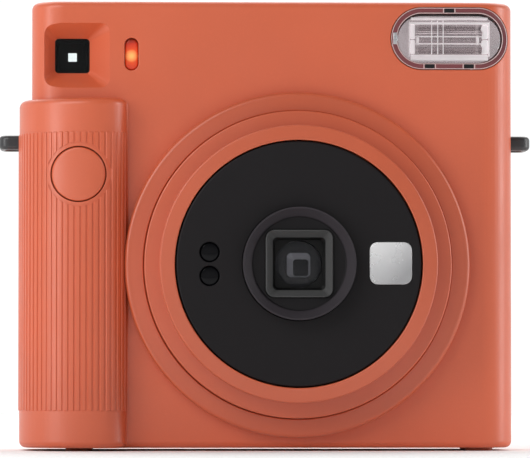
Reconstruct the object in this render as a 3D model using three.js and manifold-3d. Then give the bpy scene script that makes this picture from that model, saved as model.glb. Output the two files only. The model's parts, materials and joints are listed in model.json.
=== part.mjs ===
// Instant camera for square film, as an assembly of separate named pieces. Millimetres, +Z up.
// The lens looks along -Y and +X is on the right as seen from the front. The origin is on the surface
// that the camera stands on, under the middle of its bounding box. It is shown switched on, with the
// lens barrel forward.
import * as THREE from "three";
import { mergeVertices } from "three/addons/utils/BufferGeometryUtils.js";
import Module from "manifold-3d";

const wasm = await Module();
wasm.setup();

// ---------------------------------------------------------------- driving dimensions
const HALF_WIDTH = 65.35; // the grip's left side and the body's right side
const BODY_LEFT = -62; // the body's left side above the grip
const HEIGHT = 118.6;
const FOOT_HEIGHT = 0.8;
const BACK = 30.75;
const FRONT = BACK - 43.5; // the flat front face
const SEAM = 4; // the front and rear covers part here
const WALL = 2;
const CORNER = 8.6; // vertical corners of the body
const EDGE = 1.8; // rounding along the top and bottom
const GAP = 0.15; // half of a visible parting gap
const FIT = 0.1; // clearance round a piece that is set into another
const SEGMENTS = 32; // facets of a large round piece
const SMALL = 16; // facets of a small one

const LENS = { x: 8, z: 48.9 };
const BEZEL = { bore: 40.6, outer: 45.4, front: FRONT - 4.25 };
const RING = { tier1: 40.3, tier2: 36.3, bore: 32.35, step1: -21.4, step2: -26.2, front: -26.7 };
const DISC = { radius: 32.05, front: -26.5, back: -24.6 };
const BARREL = { radius: 14.75, rim: 14.3, throat: 12.3, front: -30.75, floor: -28.2, back: -12.4 };
const HOOD = { outer: 17.6, corner: 2.4, front: -29.2, mouth: 16.2, throat: 13.6, step: -24, back: -19.6 };

const GRIP = { right: -37.05, apexX: -46.65, depth: 7, radius: 18.7, top: 92.7 };
const BUTTON = { x: -49.6, z: 72.6, radius: 7.1 };
const FINDER = { x: -51.3, z: 104.5, window: 9.2, tube: 12.4 };
const FUNNEL = { x: -50.05, z: 104.25, w: 17.3, h: 17.15, depth: 5.6 };
const LAMP = { x: -35.65, z: 104.6, w: 3.7, h: 8.6 };
const FLASH = { x: 48.55, z: 108.95, w: 31.1, h: 16.3, rim: 1.55 };
const MIRROR = { x: 31.95, z: 49.05, size: 11.1, thick: 0.8 };
const SENSOR = { x: -15.3, z: [51.95, 45.75], radius: 2.65 };
const LUG = { z: 81.8, height: 3.8, reach: 5.5, half: 6 };

const CHAMBER = { left: -32.5, right: 48.5, bottom: 4, top: 98, front: 9 };
const DOOR = { left: -38, right: 57.6, bottom: 3.6, top: 100.4, corner: 5 };
const HINGE = { x: 61.2, y: 27.6, radius: 2.1, pin: 0.9, bottom: 12, top: 92 };
const LATCH = { x: -42.4, z: 50, w: 6.4 };
const CELL = { x: -55.1, y: 13.8, radius: 7.8, length: 27, bottom: 16 };
const CELL_DOOR = { front: 5.8, hinge: { x: -63.85, y: 23.4 }, bottom: 13, top: 74, radius: 1.35 };
const FEET = { left: -49.4, right: 56.7, front: -4.5, rear: 22.5, length: 7.2, width: 4 };
const FILM_Y = 11.5; // the film leaves the camera in this plane
const MODULE = 0.6; // gear tooth size
const ROLLER = { z: 104.5, radius: 4.05, teeth: 14, left: -30.9, right: 46.4 };
const GEAR_X = [-37.4, -34.9];
const BACKLASH = 0.06; // added to each gear pair's centre distance
const COUNTER = { x: -50.5, z: 85.5, radius: 7 };

// ---------------------------------------------------------------- solids from three.js geometry
const COLOURS = {
  orange: ["#cf6842", 0.5, 0],
  black: ["#1d1b1e", 0.4, 0],
  glass: ["#dfe6ea", 0.05, 0],
  metal: ["#b9bcc0", 0.3, 1],
  amber: ["#f08a3c", 0.3, 0],
  darkRed: ["#7c3c3c", 0.25, 0],
  board: ["#1f5a3a", 0.5, 0],
  cell: ["#8f9296", 0.35, 0.6],
};

function solid(geometry) {
  const bare = geometry.index ? geometry.toNonIndexed() : geometry.clone();
  bare.deleteAttribute("normal");
  bare.deleteAttribute("uv");
  const merged = mergeVertices(bare, 1e-4);
  const triVerts = new Uint32Array(merged.index.array);
  const vertProperties = merged.attributes.position.array;
  const made = new wasm.Manifold(new wasm.Mesh({ numProp: 3, vertProperties, triVerts }));
  if (made.volume() > 0) return made;
  for (let i = 0; i < triVerts.length; i += 3) {
    [triVerts[i + 1], triVerts[i + 2]] = [triVerts[i + 2], triVerts[i + 1]];
  }
  return new wasm.Manifold(new wasm.Mesh({ numProp: 3, vertProperties, triVerts }));
}

const X = new THREE.Vector3(1, 0, 0);
const Y = new THREE.Vector3(0, 1, 0);
const Z = new THREE.Vector3(0, 0, 1);
const placed = (geometry, a, b, c) => geometry.applyMatrix4(new THREE.Matrix4().makeBasis(a, b, c));

function extruded(shape, depth, bevel, curve, rows) {
  const size = { depth: depth - 2 * bevel, curveSegments: curve, bevelEnabled: bevel > 0 };
  const rounding = { bevelThickness: bevel, bevelSize: bevel, bevelOffset: -bevel, bevelSegments: rows };
  return new THREE.ExtrudeGeometry(shape, { ...size, ...rounding }).translate(0, 0, bevel);
}

// A shape drawn in the plan (X, Y), from z0 up to z1.
const alongZ = (shape, z0, z1, { bevel = 0, curve = 3, rows = 1 } = {}) =>
  solid(extruded(shape, z1 - z0, bevel, curve, rows).translate(0, 0, z0));

// A shape drawn as seen from the front (X, Z), from y0 back to y1.
const alongY = (shape, y0, y1, { bevel = 0, curve = 3, rows = 1 } = {}) =>
  solid(placed(extruded(shape, y1 - y0, bevel, curve, rows), X, Z, Y.clone().negate()).translate(0, y1, 0));

// A shape drawn as seen from the side (Y, Z), from x0 to x1.
const alongX = (shape, x0, x1, { bevel = 0, curve = 3, rows = 1 } = {}) =>
  solid(placed(extruded(shape, x1 - x0, bevel, curve, rows), Y, Z, X).translate(x0, 0, 0));

const box = (x0, x1, y0, y1, z0, z1) => {
  const geometry = new THREE.BoxGeometry(x1 - x0, y1 - y0, z1 - z0);
  return solid(geometry.translate((x0 + x1) / 2, (y0 + y1) / 2, (z0 + z1) / 2));
};

const rounded = (cx, cy, w, h, r) => {
  const [l, b] = [cx - w / 2, cy - h / 2];
  const shape = new THREE.Shape().moveTo(l + r, b).lineTo(l + w - r, b);
  shape.absarc(l + w - r, b + r, r, -Math.PI / 2, 0).lineTo(l + w, b + h - r);
  shape.absarc(l + w - r, b + h - r, r, 0, Math.PI / 2).lineTo(l + r, b + h);
  shape.absarc(l + r, b + h - r, r, Math.PI / 2, Math.PI).lineTo(l, b + r);
  return shape.absarc(l + r, b + r, r, Math.PI, Math.PI * 1.5);
};
const pill = (cx, cy, w, h) => rounded(cx, cy, w, h, Math.min(w, h) / 2 - 0.01);
const polygon = (points) => new THREE.Shape(points.map(([a, b]) => new THREE.Vector2(a, b)));

// A profile of [radius, height] pairs turned round an axis along X, Y or Z through (a, b).
function turned(profile, { axis = "Y", at = [0, 0], segments = SEGMENTS } = {}) {
  const points = profile.map(([r, h]) => new THREE.Vector2(r, h));
  if (profile.some(([r]) => r > 0) && profile[0][0] > 0) points.push(points[0].clone());
  const geometry = new THREE.LatheGeometry(points, segments);
  if (axis === "Y") return solid(geometry.translate(at[0], 0, at[1]));
  if (axis === "Z") return solid(placed(geometry, Y, Z, X).translate(at[0], at[1], 0));
  return solid(placed(geometry, Z, X, Y).translate(0, at[0], at[1]));
}
const cylinder = (r, h0, h1, options) => turned([[0, h0], [r, h0], [r, h1], [0, h1]], options);

// A solid between two outlines of [x, z] points at y0 and y1, joined point to point.
function loft(front, y0, back, y1) {
  const n = front.length;
  const points = [...front.map(([x, z]) => [x, y0, z]), ...back.map(([x, z]) => [x, y1, z])];
  const index = [];
  for (let i = 0; i < n; i++) {
    const j = (i + 1) % n;
    index.push(i, j, n + j, i, n + j, n + i);
    if (i > 1) index.push(0, i, i - 1, n, n + i - 1, n + i);
  }
  const geometry = new THREE.BufferGeometry();
  geometry.setAttribute("position", new THREE.Float32BufferAttribute(points.flat(), 3));
  return solid(geometry.setIndex(index));
}
const outline = (shape, curve = 3) =>
  shape.extractPoints(curve).shape.slice(0, -1).map((p) => [p.x, p.y]);

const join = (...pieces) => pieces.reduce((a, b) => a.add(b));
const cut = (piece, ...cutters) => cutters.reduce((a, b) => a.subtract(b), piece);

const camera = new THREE.Group();
function add(name, piece, colour) {
  const { vertProperties, triVerts } = piece.getMesh();
  const geometry = new THREE.BufferGeometry();
  geometry.setAttribute("position", new THREE.Float32BufferAttribute(vertProperties, 3));
  geometry.setIndex(new THREE.Uint32BufferAttribute(triVerts, 1)).computeVertexNormals();
  const [color, roughness, metalness] = COLOURS[colour];
  const mesh = new THREE.Mesh(geometry, new THREE.MeshStandardMaterial({ color, roughness, metalness }));
  mesh.name = name;
  camera.add(mesh);
}

// ---------------------------------------------------------------- the outer form
// The body and the grip column beside it, both taken in by inset.
function bodyForm(inset) {
  const edge = Math.max(EDGE - inset, 0);
  const r = CORNER - inset;
  const [left, right] = [BODY_LEFT + inset, HALF_WIDTH - inset];
  const [near, far] = [FRONT + inset, BACK - inset];
  const [bottom, top] = [FOOT_HEIGHT + inset, HEIGHT - inset];
  const middle = [(left + right) / 2, (near + far) / 2];
  const fine = { bevel: edge, curve: 4, rows: 2 };
  const body = alongZ(rounded(...middle, right - left, far - near, r), bottom, top, fine);

  const side = -HALF_WIDTH + inset;
  const axisY = FRONT - GRIP.depth + GRIP.radius;
  const plan = new THREE.Shape().moveTo(GRIP.right - inset, 0).lineTo(GRIP.right - inset, far);
  plan.lineTo(side + r, far).absarc(side + r, far - r, r, Math.PI / 2, Math.PI);
  plan.absarc(GRIP.apexX, axisY, GRIP.radius - inset, Math.PI, Math.PI * 1.5);
  const [a, b] = [GRIP.right - GRIP.apexX - inset, GRIP.depth];
  plan.absellipse(GRIP.apexX, FRONT + inset, a, b, Math.PI * 1.5, Math.PI * 2);
  return body.add(alongZ(plan, bottom, GRIP.top - inset, fine));
}
const outside = bodyForm(0);
const inside = bodyForm(WALL);
const far = 200;
const inFront = box(-far, far, -far, SEAM - GAP, -far, far);
const behind = box(-far, far, SEAM + GAP, far, -far, far);

// The strap lug's window in a side wall, shared by the two covers.
const lugWindow = (side) => {
  const x = side * (HALF_WIDTH - WALL / 2);
  const reach = WALL / 2 + 1;
  const half = LUG.height / 2 + FIT;
  const depth = LUG.half + FIT;
  return box(x - reach, x + reach, SEAM - depth, SEAM + depth, LUG.z - half, LUG.z + half);
};

const funnelMouth = rounded(FUNNEL.x, FUNNEL.z, FUNNEL.w, FUNNEL.h, 2.2);
const funnelThroat = rounded(FINDER.x, FINDER.z, FINDER.window, FINDER.window, 1);
const flashPill = (inset) => pill(FLASH.x, FLASH.z, FLASH.w - 2 * inset, FLASH.h - 2 * inset);

// The front or rear pair of feet, which are moulded with that cover.
const feet = (end) => [FEET.left, FEET.right].map((x) =>
  alongZ(pill(x, FEET[end], FEET.length, FEET.width), 0, FOOT_HEIGHT + 0.5));

function frontCover() {
  const shell = cut(outside.intersect(inFront), inside);
  const throat = FRONT + FUNNEL.depth;
  const collar = box(FUNNEL.x - 10, FUNNEL.x + 10.2, FRONT + 1, throat + 1.2, FUNNEL.z - 10, FUNNEL.z + 10);
  return cut(
    join(shell, collar.intersect(bodyForm(0.5)), ...feet("front")),
    cylinder(BEZEL.bore + 0.6, FRONT - 3, FRONT + 6, { at: [LENS.x, LENS.z] }),
    loft(outline(funnelMouth), FRONT - 0.01, outline(funnelThroat), throat),
    alongY(funnelThroat, throat - 0.5, throat + 3),
    alongY(pill(LAMP.x, LAMP.z, LAMP.w, LAMP.h), FRONT - 1, FRONT + 6),
    alongY(flashPill(-FIT), FRONT - 3, FRONT + 7),
    cylinder(BUTTON.radius + 0.35, FRONT - 12, FRONT, { at: [BUTTON.x, BUTTON.z], segments: 28 }),
    lugWindow(-1),
    lugWindow(1),
  );
}

// The film door's panel, grown by grow: its corners are round at the latch and square at the hinge.
function doorPanel(grow, y0, y1) {
  const [w, h] = [DOOR.right - DOOR.left, DOOR.top - DOOR.bottom];
  const middle = [(DOOR.left + DOOR.right) / 2, (DOOR.bottom + DOOR.top) / 2];
  const panel = alongY(rounded(...middle, w + 2 * grow, h + 2 * grow, DOOR.corner + grow), y0, y1);
  return panel.add(box(middle[0], DOOR.right + grow, y0, y1, DOOR.bottom - grow, DOOR.top + grow));
}
const slotPlan = (grow) => rounded(LENS.x, FILM_Y, 80 + 2 * grow, 8 + 2 * grow, 1.5);
const SCREWS = [[-43, 23.5], [53.4, 23.5]]; // case screws, driven in from below
const knuckle = (r, z0, z1) => cylinder(r, z0, z1, { axis: "Z", at: [HINGE.x, HINGE.y], segments: SMALL });

function rearCover() {
  const hingeBlock = box(56.5, 64, 22.6, 29, HINGE.bottom - 4, HINGE.top + 4);
  const bosses = SCREWS.map(([x, y]) => cylinder(2.9, 2, 9, { axis: "Z", at: [x, y], segments: 12 }));
  const { hinge, front, bottom, top, radius } = CELL_DOOR;
  const pivot = box(-64.9, -63, hinge.y - 1.1, hinge.y + 1.4, bottom - 3, top + 3);
  const cellPivot = pivot.intersect(inside.hull());
  const body = join(cut(outside.intersect(behind), inside), hingeBlock.intersect(outside), cellPivot);
  const solidBody = join(body, ...bosses, ...feet("rear"));
  const frameHole = rounded(FINDER.x, FINDER.z, 16 + 2 * FIT, 13 + 2 * FIT, 2);
  const shell = cut(
    solidBody,
    doorPanel(2 * GAP, BACK - 2.6, BACK + 1),
    box(DOOR.right - 2, HALF_WIDTH + 1, HINGE.y - 2.5, BACK + 1, HINGE.bottom - 0.2, HINGE.top + 0.2),
    alongZ(slotPlan(FIT), HEIGHT - WALL - 1, HEIGHT + 1),
    alongY(frameHole, BACK - WALL - 1, BACK + 1),
    box(LATCH.x - 3.8, LATCH.x + 3.6, BACK - 1.2, BACK + 1, LATCH.z - 11.4, LATCH.z + 7.4),
    box(LATCH.x - 2.2, LATCH.x + 2.2, BACK - 3, BACK, LATCH.z - 9, LATCH.z + 5),
    alongY(rounded(COUNTER.x, COUNTER.z + 4.2, 5, 4, 0.6), BACK - 3, BACK + 1),
    box(-66, -62, front - 2 * GAP, hinge.y + radius + 0.45, bottom - 2 * GAP, top + 2 * GAP),
    cylinder(0.85, bottom - 4, top + 4, { axis: "Z", at: [hinge.x, hinge.y], segments: 12 }),
    lugWindow(-1),
    lugWindow(1),
    ...SCREWS.flatMap(([x, y]) => [
      cylinder(1.25, 0, 10, { axis: "Z", at: [x, y], segments: 12 }),
      cylinder(2.4, 0, FOOT_HEIGHT + 1.1, { axis: "Z", at: [x, y], segments: 16 }),
    ]),
  );
  const { bottom: low, top: high } = HINGE;
  const web = (z0, z1) => box(58, HINGE.x, HINGE.y - 2.6, HINGE.y - 0.8, z0, z1);
  const ears = [[low, low + 18], [high - 18, high]];
  const knuckles = ears.map(([z0, z1]) => join(knuckle(HINGE.radius, z0, z1), web(z0, z1)));
  return cut(join(shell, ...knuckles), knuckle(HINGE.pin + 0.12, low - 0.5, high + 0.5));
}

// ---------------------------------------------------------------- film door and its pieces
const DOOR_WINDOW = { x: 8, z: 58, w: 9, h: 24 };

function filmDoor() {
  // The edge beside the hinge is hollowed inside, so that it clears the rear cover as it swings.
  const panel = cut(doorPanel(0, BACK - WALL, BACK), knuckle(4.65, 0, HEIGHT));
  const lip = (inset) => {
    const [l, r] = [CHAMBER.left + 1.2 + inset, CHAMBER.right - 1.2 - inset];
    return [l, r, BACK - WALL - 1.8, BACK - 1, CHAMBER.bottom + 1.2 + inset, CHAMBER.top - 1.2 - inset];
  };
  const recess = lip(1.4);
  recess[3] = BACK - WALL;
  const [left, right, floor, ...rest] = recess;
  const frame = cut(box(...lip(0)), box(left, right, floor - 1, ...rest));
  const [z0, z1] = [HINGE.bottom + 18.4, HINGE.top - 18.4];
  const arm = box(DOOR.right - 3, HINGE.x - 0.6, HINGE.y + 1, HINGE.y + HINGE.radius - 0.25, z0, z1);
  const { x, z, w, h } = DOOR_WINDOW;
  return cut(
    join(panel, frame, knuckle(HINGE.radius, z0, z1), arm),
    knuckle(HINGE.pin + 0.12, 0, 110),
    alongY(pill(x, z, w, h), BACK - 3, BACK + 1),
  );
}

// A bowed leaf on the door's inside that presses the film pack forward.
function packSpring(z) {
  const base = BACK - WALL - FIT;
  const bow = [[-26, 0], [-24, 0], [-10, -2.6], [10, -2.6], [24, 0], [26, 0]];
  const points = bow.map(([dx, dy]) => [LENS.x + dx, base + dy]);
  const under = [...points].reverse().map(([px, py]) => [px, py - 0.5]);
  return alongZ(polygon([...points, ...under]), z - 4, z + 4);
}

function doorLatch() {
  const [left, right] = [LATCH.x - LATCH.w / 2, LATCH.x + LATCH.w / 2];
  const knob = box(left, right, BACK - 1.05, BACK, LATCH.z - 6.4, LATCH.z + 7);
  const grooves = [-3.5, -1.2, 1.2, 3.5].map((dz) =>
    box(LATCH.x - 4, LATCH.x + 4, BACK - 0.4, BACK + 1, LATCH.z + dz - 0.4, LATCH.z + dz + 0.4));
  const stem = box(LATCH.x - 2, LATCH.x + 2, BACK - 3.6, BACK - 0.9, LATCH.z - 4, LATCH.z + 4);
  const bar = box(LATCH.x - 3, LATCH.x + 3.2, BACK - 4.4, BACK - WALL - 0.2, LATCH.z - 6, LATCH.z + 7);
  return join(cut(knob, ...grooves), stem, bar);
}

// ---------------------------------------------------------------- power
function batteryDoor() {
  const { front, hinge, bottom, top, radius } = CELL_DOOR;
  const plate = box(-HALF_WIDTH, -HALF_WIDTH + 1.7, front, hinge.y, bottom, top);
  const barrel = cylinder(radius, bottom, top, { axis: "Z", at: [hinge.x, hinge.y], segments: 16 });
  const bore = cylinder(0.85, 0, 100, { axis: "Z", at: [hinge.x, hinge.y], segments: 12 });
  return cut(join(plate, barrel), bore);
}

function batteryHolder() {
  const { bottom } = CELL;
  const top = bottom + 2 * CELL.length + 3;
  const block = box(-62.2, CELL.x + 9.2, CELL.y - 9.3, CELL.y + 8.6, bottom - 3, top + 2);
  const bore = cylinder(CELL.radius + 0.3, bottom - 2, top + 1, { axis: "Z", at: [CELL.x, CELL.y] });
  return cut(block, bore, box(-70, CELL.x, CELL.y - 8.1, CELL.y + 8.1, bottom - 2, top + 1));
}

function cell(z0) {
  const [r, h] = [CELL.radius, CELL.length];
  const profile = [[0, z0], [r, z0], [r, z0 + h - 1.2], [3, z0 + h - 1.2], [3, z0 + h], [0, z0 + h]];
  return turned(profile, { axis: "Z", at: [CELL.x, CELL.y], segments: 16 });
}

// A coil of round wire as a closed solid, wound round an axis through (x, ., z) from y0 to y1.
function coil(x, z, radius, wire, turns, y0, y1) {
  class Helix extends THREE.Curve {
    getPoint(t, target = new THREE.Vector3()) {
      const angle = t * turns * 2 * Math.PI;
      return target.set(x + radius * Math.cos(angle), y0 + t * (y1 - y0), z + radius * Math.sin(angle));
    }
  }
  const section = new THREE.Shape().absarc(0, 0, wire, 0, 2 * Math.PI);
  const steps = Math.round(turns * 9);
  return solid(new THREE.ExtrudeGeometry(section, { steps, curveSegments: 3, extrudePath: new Helix() }));
}

// ---------------------------------------------------------------- shutter button
function shutterButton() {
  const at = [BUTTON.x, BUTTON.z];
  const head = cylinder(BUTTON.radius, FRONT - 10, -14.2, { at, segments: 28 }).intersect(outside);
  const flange = cylinder(BUTTON.radius + 1.2, -14.4, -13.2, { at, segments: 28 });
  const stem = cylinder(1.8, -13.4, -11, { at, segments: 12 });
  return join(head, flange.intersect(bodyForm(WALL + 2 * FIT)), stem);
}

// ---------------------------------------------------------------- lens
const lensAt = { at: [LENS.x, LENS.z] };

function lensBezel() {
  const { bore, outer, front } = BEZEL;
  const base = FRONT - 0.05;
  const profile = [[bore, base], [outer, base], [outer, front + 2.2], [outer - 0.7, front + 0.8]];
  const ring = turned([...profile, [outer - 2.2, front], [bore, front - 0.5]], lensAt);
  return cut(ring, bodyForm(-FIT));
}

function lensRing() {
  const { tier1, tier2, bore, step1, step2, front } = RING;
  const [flangeFront, flangeBack] = [FRONT + WALL + 0.35, FRONT + WALL + 1.85];
  const profile = [[bore, flangeBack], [42.5, flangeBack], [42.5, flangeFront], [tier1, flangeFront]];
  const steps = [[tier1, step1 + 0.5], [tier1 - 0.5, step1], [tier2, step1 - 0.7], [tier2, step2 + 0.4]];
  const mouth = [[tier2 - 0.5, step2], [bore + 0.4, front], [bore, front + 0.4]];
  return turned([...profile, ...steps, ...mouth], lensAt);
}

function lensFaceplate() {
  const { radius, front, back } = DISC;
  const hole = BARREL.radius + 0.3;
  const plate = turned([[hole, back], [radius, back], [radius, front + 0.5], [radius - 0.5, front],
    [hole, front - 0.1]], lensAt);
  const { x, z, size, thick } = MIRROR;
  const pocket = alongY(rounded(x, z, size + 0.3, size + 0.3, 2), front - 1, front + thick + 0.2);
  const sensorHole = (sz) => {
    const at = [SENSOR.x, sz];
    return cylinder(SENSOR.radius, front - 1, back + 1, { at, segments: SMALL });
  };
  return cut(plate, pocket, ...SENSOR.z.map(sensorHole));
}

// The fixed tube behind the faceplate. The lens ring turns on it, between its flange and the front cover.
function lensHousing() {
  const { radius, back } = DISC;
  const [inner, flange] = [radius - 2, radius + 11.6];
  const [front, step, rear] = [back + 0.2, FRONT + WALL + 2.6, FRONT + WALL + 4.1];
  const outer = [[radius, front], [radius, step], [flange, step], [flange, rear]];
  return turned([[inner, front], ...outer, [inner, rear]], lensAt);
}

// The fixed tube that the barrel slides in. Its flange fits inside the lens housing.
function barrelGuide() {
  const hole = BARREL.radius + 0.3;
  const [wall, rim] = [hole + 1.6, DISC.radius - 2.4];
  const [front, flange, back] = [DISC.back + 0.2, -10.6, -9];
  const outer = [[wall, front], [wall, flange], [rim, flange], [rim, back]];
  return turned([[hole, front], ...outer, [hole, back]], lensAt);
}

const squareAt = (size, r) => rounded(LENS.x, LENS.z, size, size, r);

function lensBarrel() {
  const { radius, rim, throat, front, floor, back } = BARREL;
  const seat = -17;
  const wall = [[radius - 0.15, front], [radius, front + 0.15], [radius, back]];
  const outside = [[0, floor], [throat, floor], [rim, front], ...wall];
  const inside = [[6.2, back], [6.2, seat], [12.9, seat], [12.9, floor + 1.8], [0, floor + 1.8]];
  const barrel = turned([...outside, ...inside], { ...lensAt, segments: 28 });
  return cut(barrel, alongY(squareAt(HOOD.outer + 0.3, HOOD.corner), floor - 1, floor + 3, { curve: 3 }));
}

function lensHood() {
  const { outer, corner, front, mouth, throat, step, back } = HOOD;
  return cut(
    alongY(squareAt(outer, corner), front, back, { curve: 3 }),
    loft(outline(squareAt(mouth, 1.8), 3), front - 0.01, outline(squareAt(throat, 0.8), 3), step),
    cylinder(6.5, step - 1, back + 1, { ...lensAt, segments: 24 }),
  );
}

// A lens element: both faces are domed by bulge.
function lensElement(r, y0, y1, bulge) {
  const dome = [0, 0.6, 1].map((t) => [r * t, bulge * (1 - t * t)]);
  const front = dome.map(([x, d]) => [x, y0 + bulge - d]);
  const rear = dome.reverse().map(([x, d]) => [x, y1 - bulge + d]);
  return turned([...front, ...rear], { ...lensAt, segments: 20 });
}

function shutterUnit() {
  const plate = alongY(squareAt(29, 3), -7.2, -4.6, { curve: 2 });
  const coilCase = box(LENS.x - 12, LENS.x - 4, -8.1, -6.8, LENS.z + 8.6, LENS.z + 13);
  return cut(join(plate, coilCase), cylinder(5.5, -12, 0, { ...lensAt, segments: 24 }));
}

// ---------------------------------------------------------------- viewfinder and flash
function viewfinderTube() {
  const [half, open] = [FINDER.tube / 2, FINDER.window / 2 + 0.1];
  const [front, back, stop] = [-4.9, BACK - 3.6, -2];
  const bar = (h, y0, y1) => box(FINDER.x - h, FINDER.x + h, y0, y1, FINDER.z - h, FINDER.z + h);
  const windows = [bar(open, front - 1, stop), bar(open, stop + 0.6, back + 1)];
  return cut(bar(half, front, back), ...windows, bar(1.15, -9, 9));
}

function flashReflector() {
  const [w, h] = [22.3, 11.2];
  const [front, back] = [-9.7, -3.6];
  const [bottom, top] = [FLASH.z - h / 2, FLASH.z + h / 2];
  const steps = [-1, -0.75, -0.4, 0, 0.4, 0.75, 1];
  const curve = steps.map((t) => [front + 5.3 * (1 - t * t) - 0.01, FLASH.z + t * (h / 2 - 0.6)]);
  const trough = polygon([...curve, [front - 1, top - 0.6], [front - 1, bottom + 0.6]]);
  const block = box(FLASH.x - w / 2, FLASH.x + w / 2, front, back, bottom, top);
  return cut(
    block.intersect(alongY(flashPill(FLASH.rim + 2 * FIT), front - 1, back + 1)),
    alongX(trough, FLASH.x - w / 2 + 0.8, FLASH.x + w / 2 - 0.8),
    cylinder(1.15, -far, far, { axis: "X", at: [-6.6, FLASH.z], segments: 12 }),
  );
}

// ---------------------------------------------------------------- inside: light chamber and film drive
const GATE = 62; // the square opening that the light falls on the film through

function chassis() {
  const { left, right, bottom, top, front } = CHAMBER;
  const wall = 1.6;
  const plate = box(left - wall, right + wall, front - 2, front, bottom - 1, top);
  const sides = [left - wall, right].map((x) => box(x, x + wall, front - 5, BACK - 2.9, bottom - 1, top));
  const floor = box(left - wall, right + wall, front - 2, BACK - 2.9, bottom - 1, bottom);
  const idlerAt = { axis: "X", at: [DRIVE_Y, IDLER.z], segments: 12 };
  const idlerPin = cylinder(0.9, GEAR_X[0] - 0.3, left - 1, idlerAt);
  return join(cut(plate, alongY(squareAt(GATE, 1), front - 3, front + 1)), ...sides, floor, idlerPin);
}

// The hollow pyramid between the shutter and the film gate, with its flange on the chassis.
function lightCone() {
  const [nose, back] = [-3.9, CHAMBER.front - 2.2];
  const pyramid = (grow, reach) => {
    const [small, large] = [26 + grow, GATE - 4 + grow].map((size) => outline(squareAt(size, 2)));
    return loft(small, nose - reach, large, back + reach);
  };
  const flange = alongY(squareAt(GATE + 6, 3), back - 1.2, back);
  return cut(join(pyramid(3, 0), flange), pyramid(0, 0.01));
}

const PITCH = (teeth) => (teeth * MODULE) / 2;
const DRIVE_Y = FILM_Y - PITCH(ROLLER.teeth) - BACKLASH / 2;
const PINCH_Y = FILM_Y + PITCH(ROLLER.teeth) + BACKLASH / 2;
const IDLER = { teeth: 16, z: ROLLER.z - PITCH(ROLLER.teeth) - PITCH(16) - BACKLASH };
const PINION = { teeth: 10, z: IDLER.z - PITCH(16) - PITCH(10) - BACKLASH };
const MOTOR = { left: -59.5, right: -40, radius: 5.5 };

// A spur gear about an axis along X at (y, z). A tooth, or a gap, points along direction.
function gear(teeth, y, z, direction, tooth) {
  const pitch = (2 * Math.PI) / teeth;
  const [root, tip] = [PITCH(teeth) - 0.72, PITCH(teeth) + 0.5];
  const points = [];
  for (let i = 0; i < teeth; i++) {
    const middle = direction + (i + (tooth ? 0 : 0.5)) * pitch;
    for (const [r, share] of [[root, -0.3], [tip, -0.11], [tip, 0.11], [root, 0.3]]) {
      points.push([y + r * Math.cos(middle + share * pitch), z + r * Math.sin(middle + share * pitch)]);
    }
  }
  return alongX(polygon(points), ...GEAR_X);
}

function roller(y, towardsOther, tooth) {
  const axis = { axis: "X", at: [y, ROLLER.z] };
  return join(
    cylinder(ROLLER.radius, ROLLER.left, ROLLER.right, { ...axis, segments: 20 }),
    cylinder(1.4, GEAR_X[0] + 0.1, ROLLER.right + 3.4, { ...axis, segments: 16 }),
    gear(ROLLER.teeth, y, ROLLER.z, towardsOther, tooth),
  );
}

function rollerPlate(x0, x1) {
  const plate = box(x0, x1, DRIVE_Y - 5.2, PINCH_Y + 5.2, CHAMBER.top + 0.2, ROLLER.z + 5);
  const bores = [DRIVE_Y, PINCH_Y].map((y) =>
    cylinder(1.48, -far, far, { axis: "X", at: [y, ROLLER.z], segments: SMALL }));
  return cut(plate, ...bores);
}

// ---------------------------------------------------------------- small pieces
function strapLug(side) {
  const [outer, inner] = [HALF_WIDTH + LUG.reach, HALF_WIDTH - WALL - 0.3];
  const width = outer - inner + 1.6;
  const plan = rounded(side * (outer - width / 2), SEAM, width, 2 * LUG.half, 2.6);
  plan.holes.push(rounded(side * (HALF_WIDTH + 1.75), SEAM, 3.3, 7.6, 1.4));
  const [z0, z1] = [LUG.z - LUG.height / 2, LUG.z + LUG.height / 2];
  const x = side * (inner - 0.8);
  const foot = box(x - 0.8, x + 0.8, SEAM - 7.5, SEAM + 7.5, z0 - 1.2, z1 + 1.2);
  return join(alongZ(plan, z0, z1, { bevel: 0.5 }), foot);
}

function screw(x, y) {
  const [low, high] = [FOOT_HEIGHT + 0.1, FOOT_HEIGHT + 1];
  const profile = [[0, low], [2.2, low], [2.2, high], [1.1, high]];
  const turnedScrew = turned([...profile, [1.1, 8], [0, 8]], { axis: "Z", at: [x, y], segments: 16 });
  const slot = (w, h) => box(x - w, x + w, y - h, y + h, 0, FOOT_HEIGHT + 0.5);
  return cut(turnedScrew, slot(1.3, 0.25), slot(0.25, 1.3));
}

// ---------------------------------------------------------------- assembly
add("front_cover", frontCover(), "orange");
add("rear_cover", rearCover(), "orange");
add("film_door", filmDoor(), "orange");
add("door_hinge_pin", knuckle(HINGE.pin, HINGE.bottom + 0.3, HINGE.top - 0.3), "metal");
add("pack_window", alongY(pill(DOOR_WINDOW.x, DOOR_WINDOW.z, 8.8, 23.8), BACK - 1.6, BACK - 0.3), "glass");
add("pack_spring_lower", packSpring(24), "metal");
add("pack_spring_upper", packSpring(83), "metal");
add("door_latch", doorLatch(), "orange");

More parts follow.
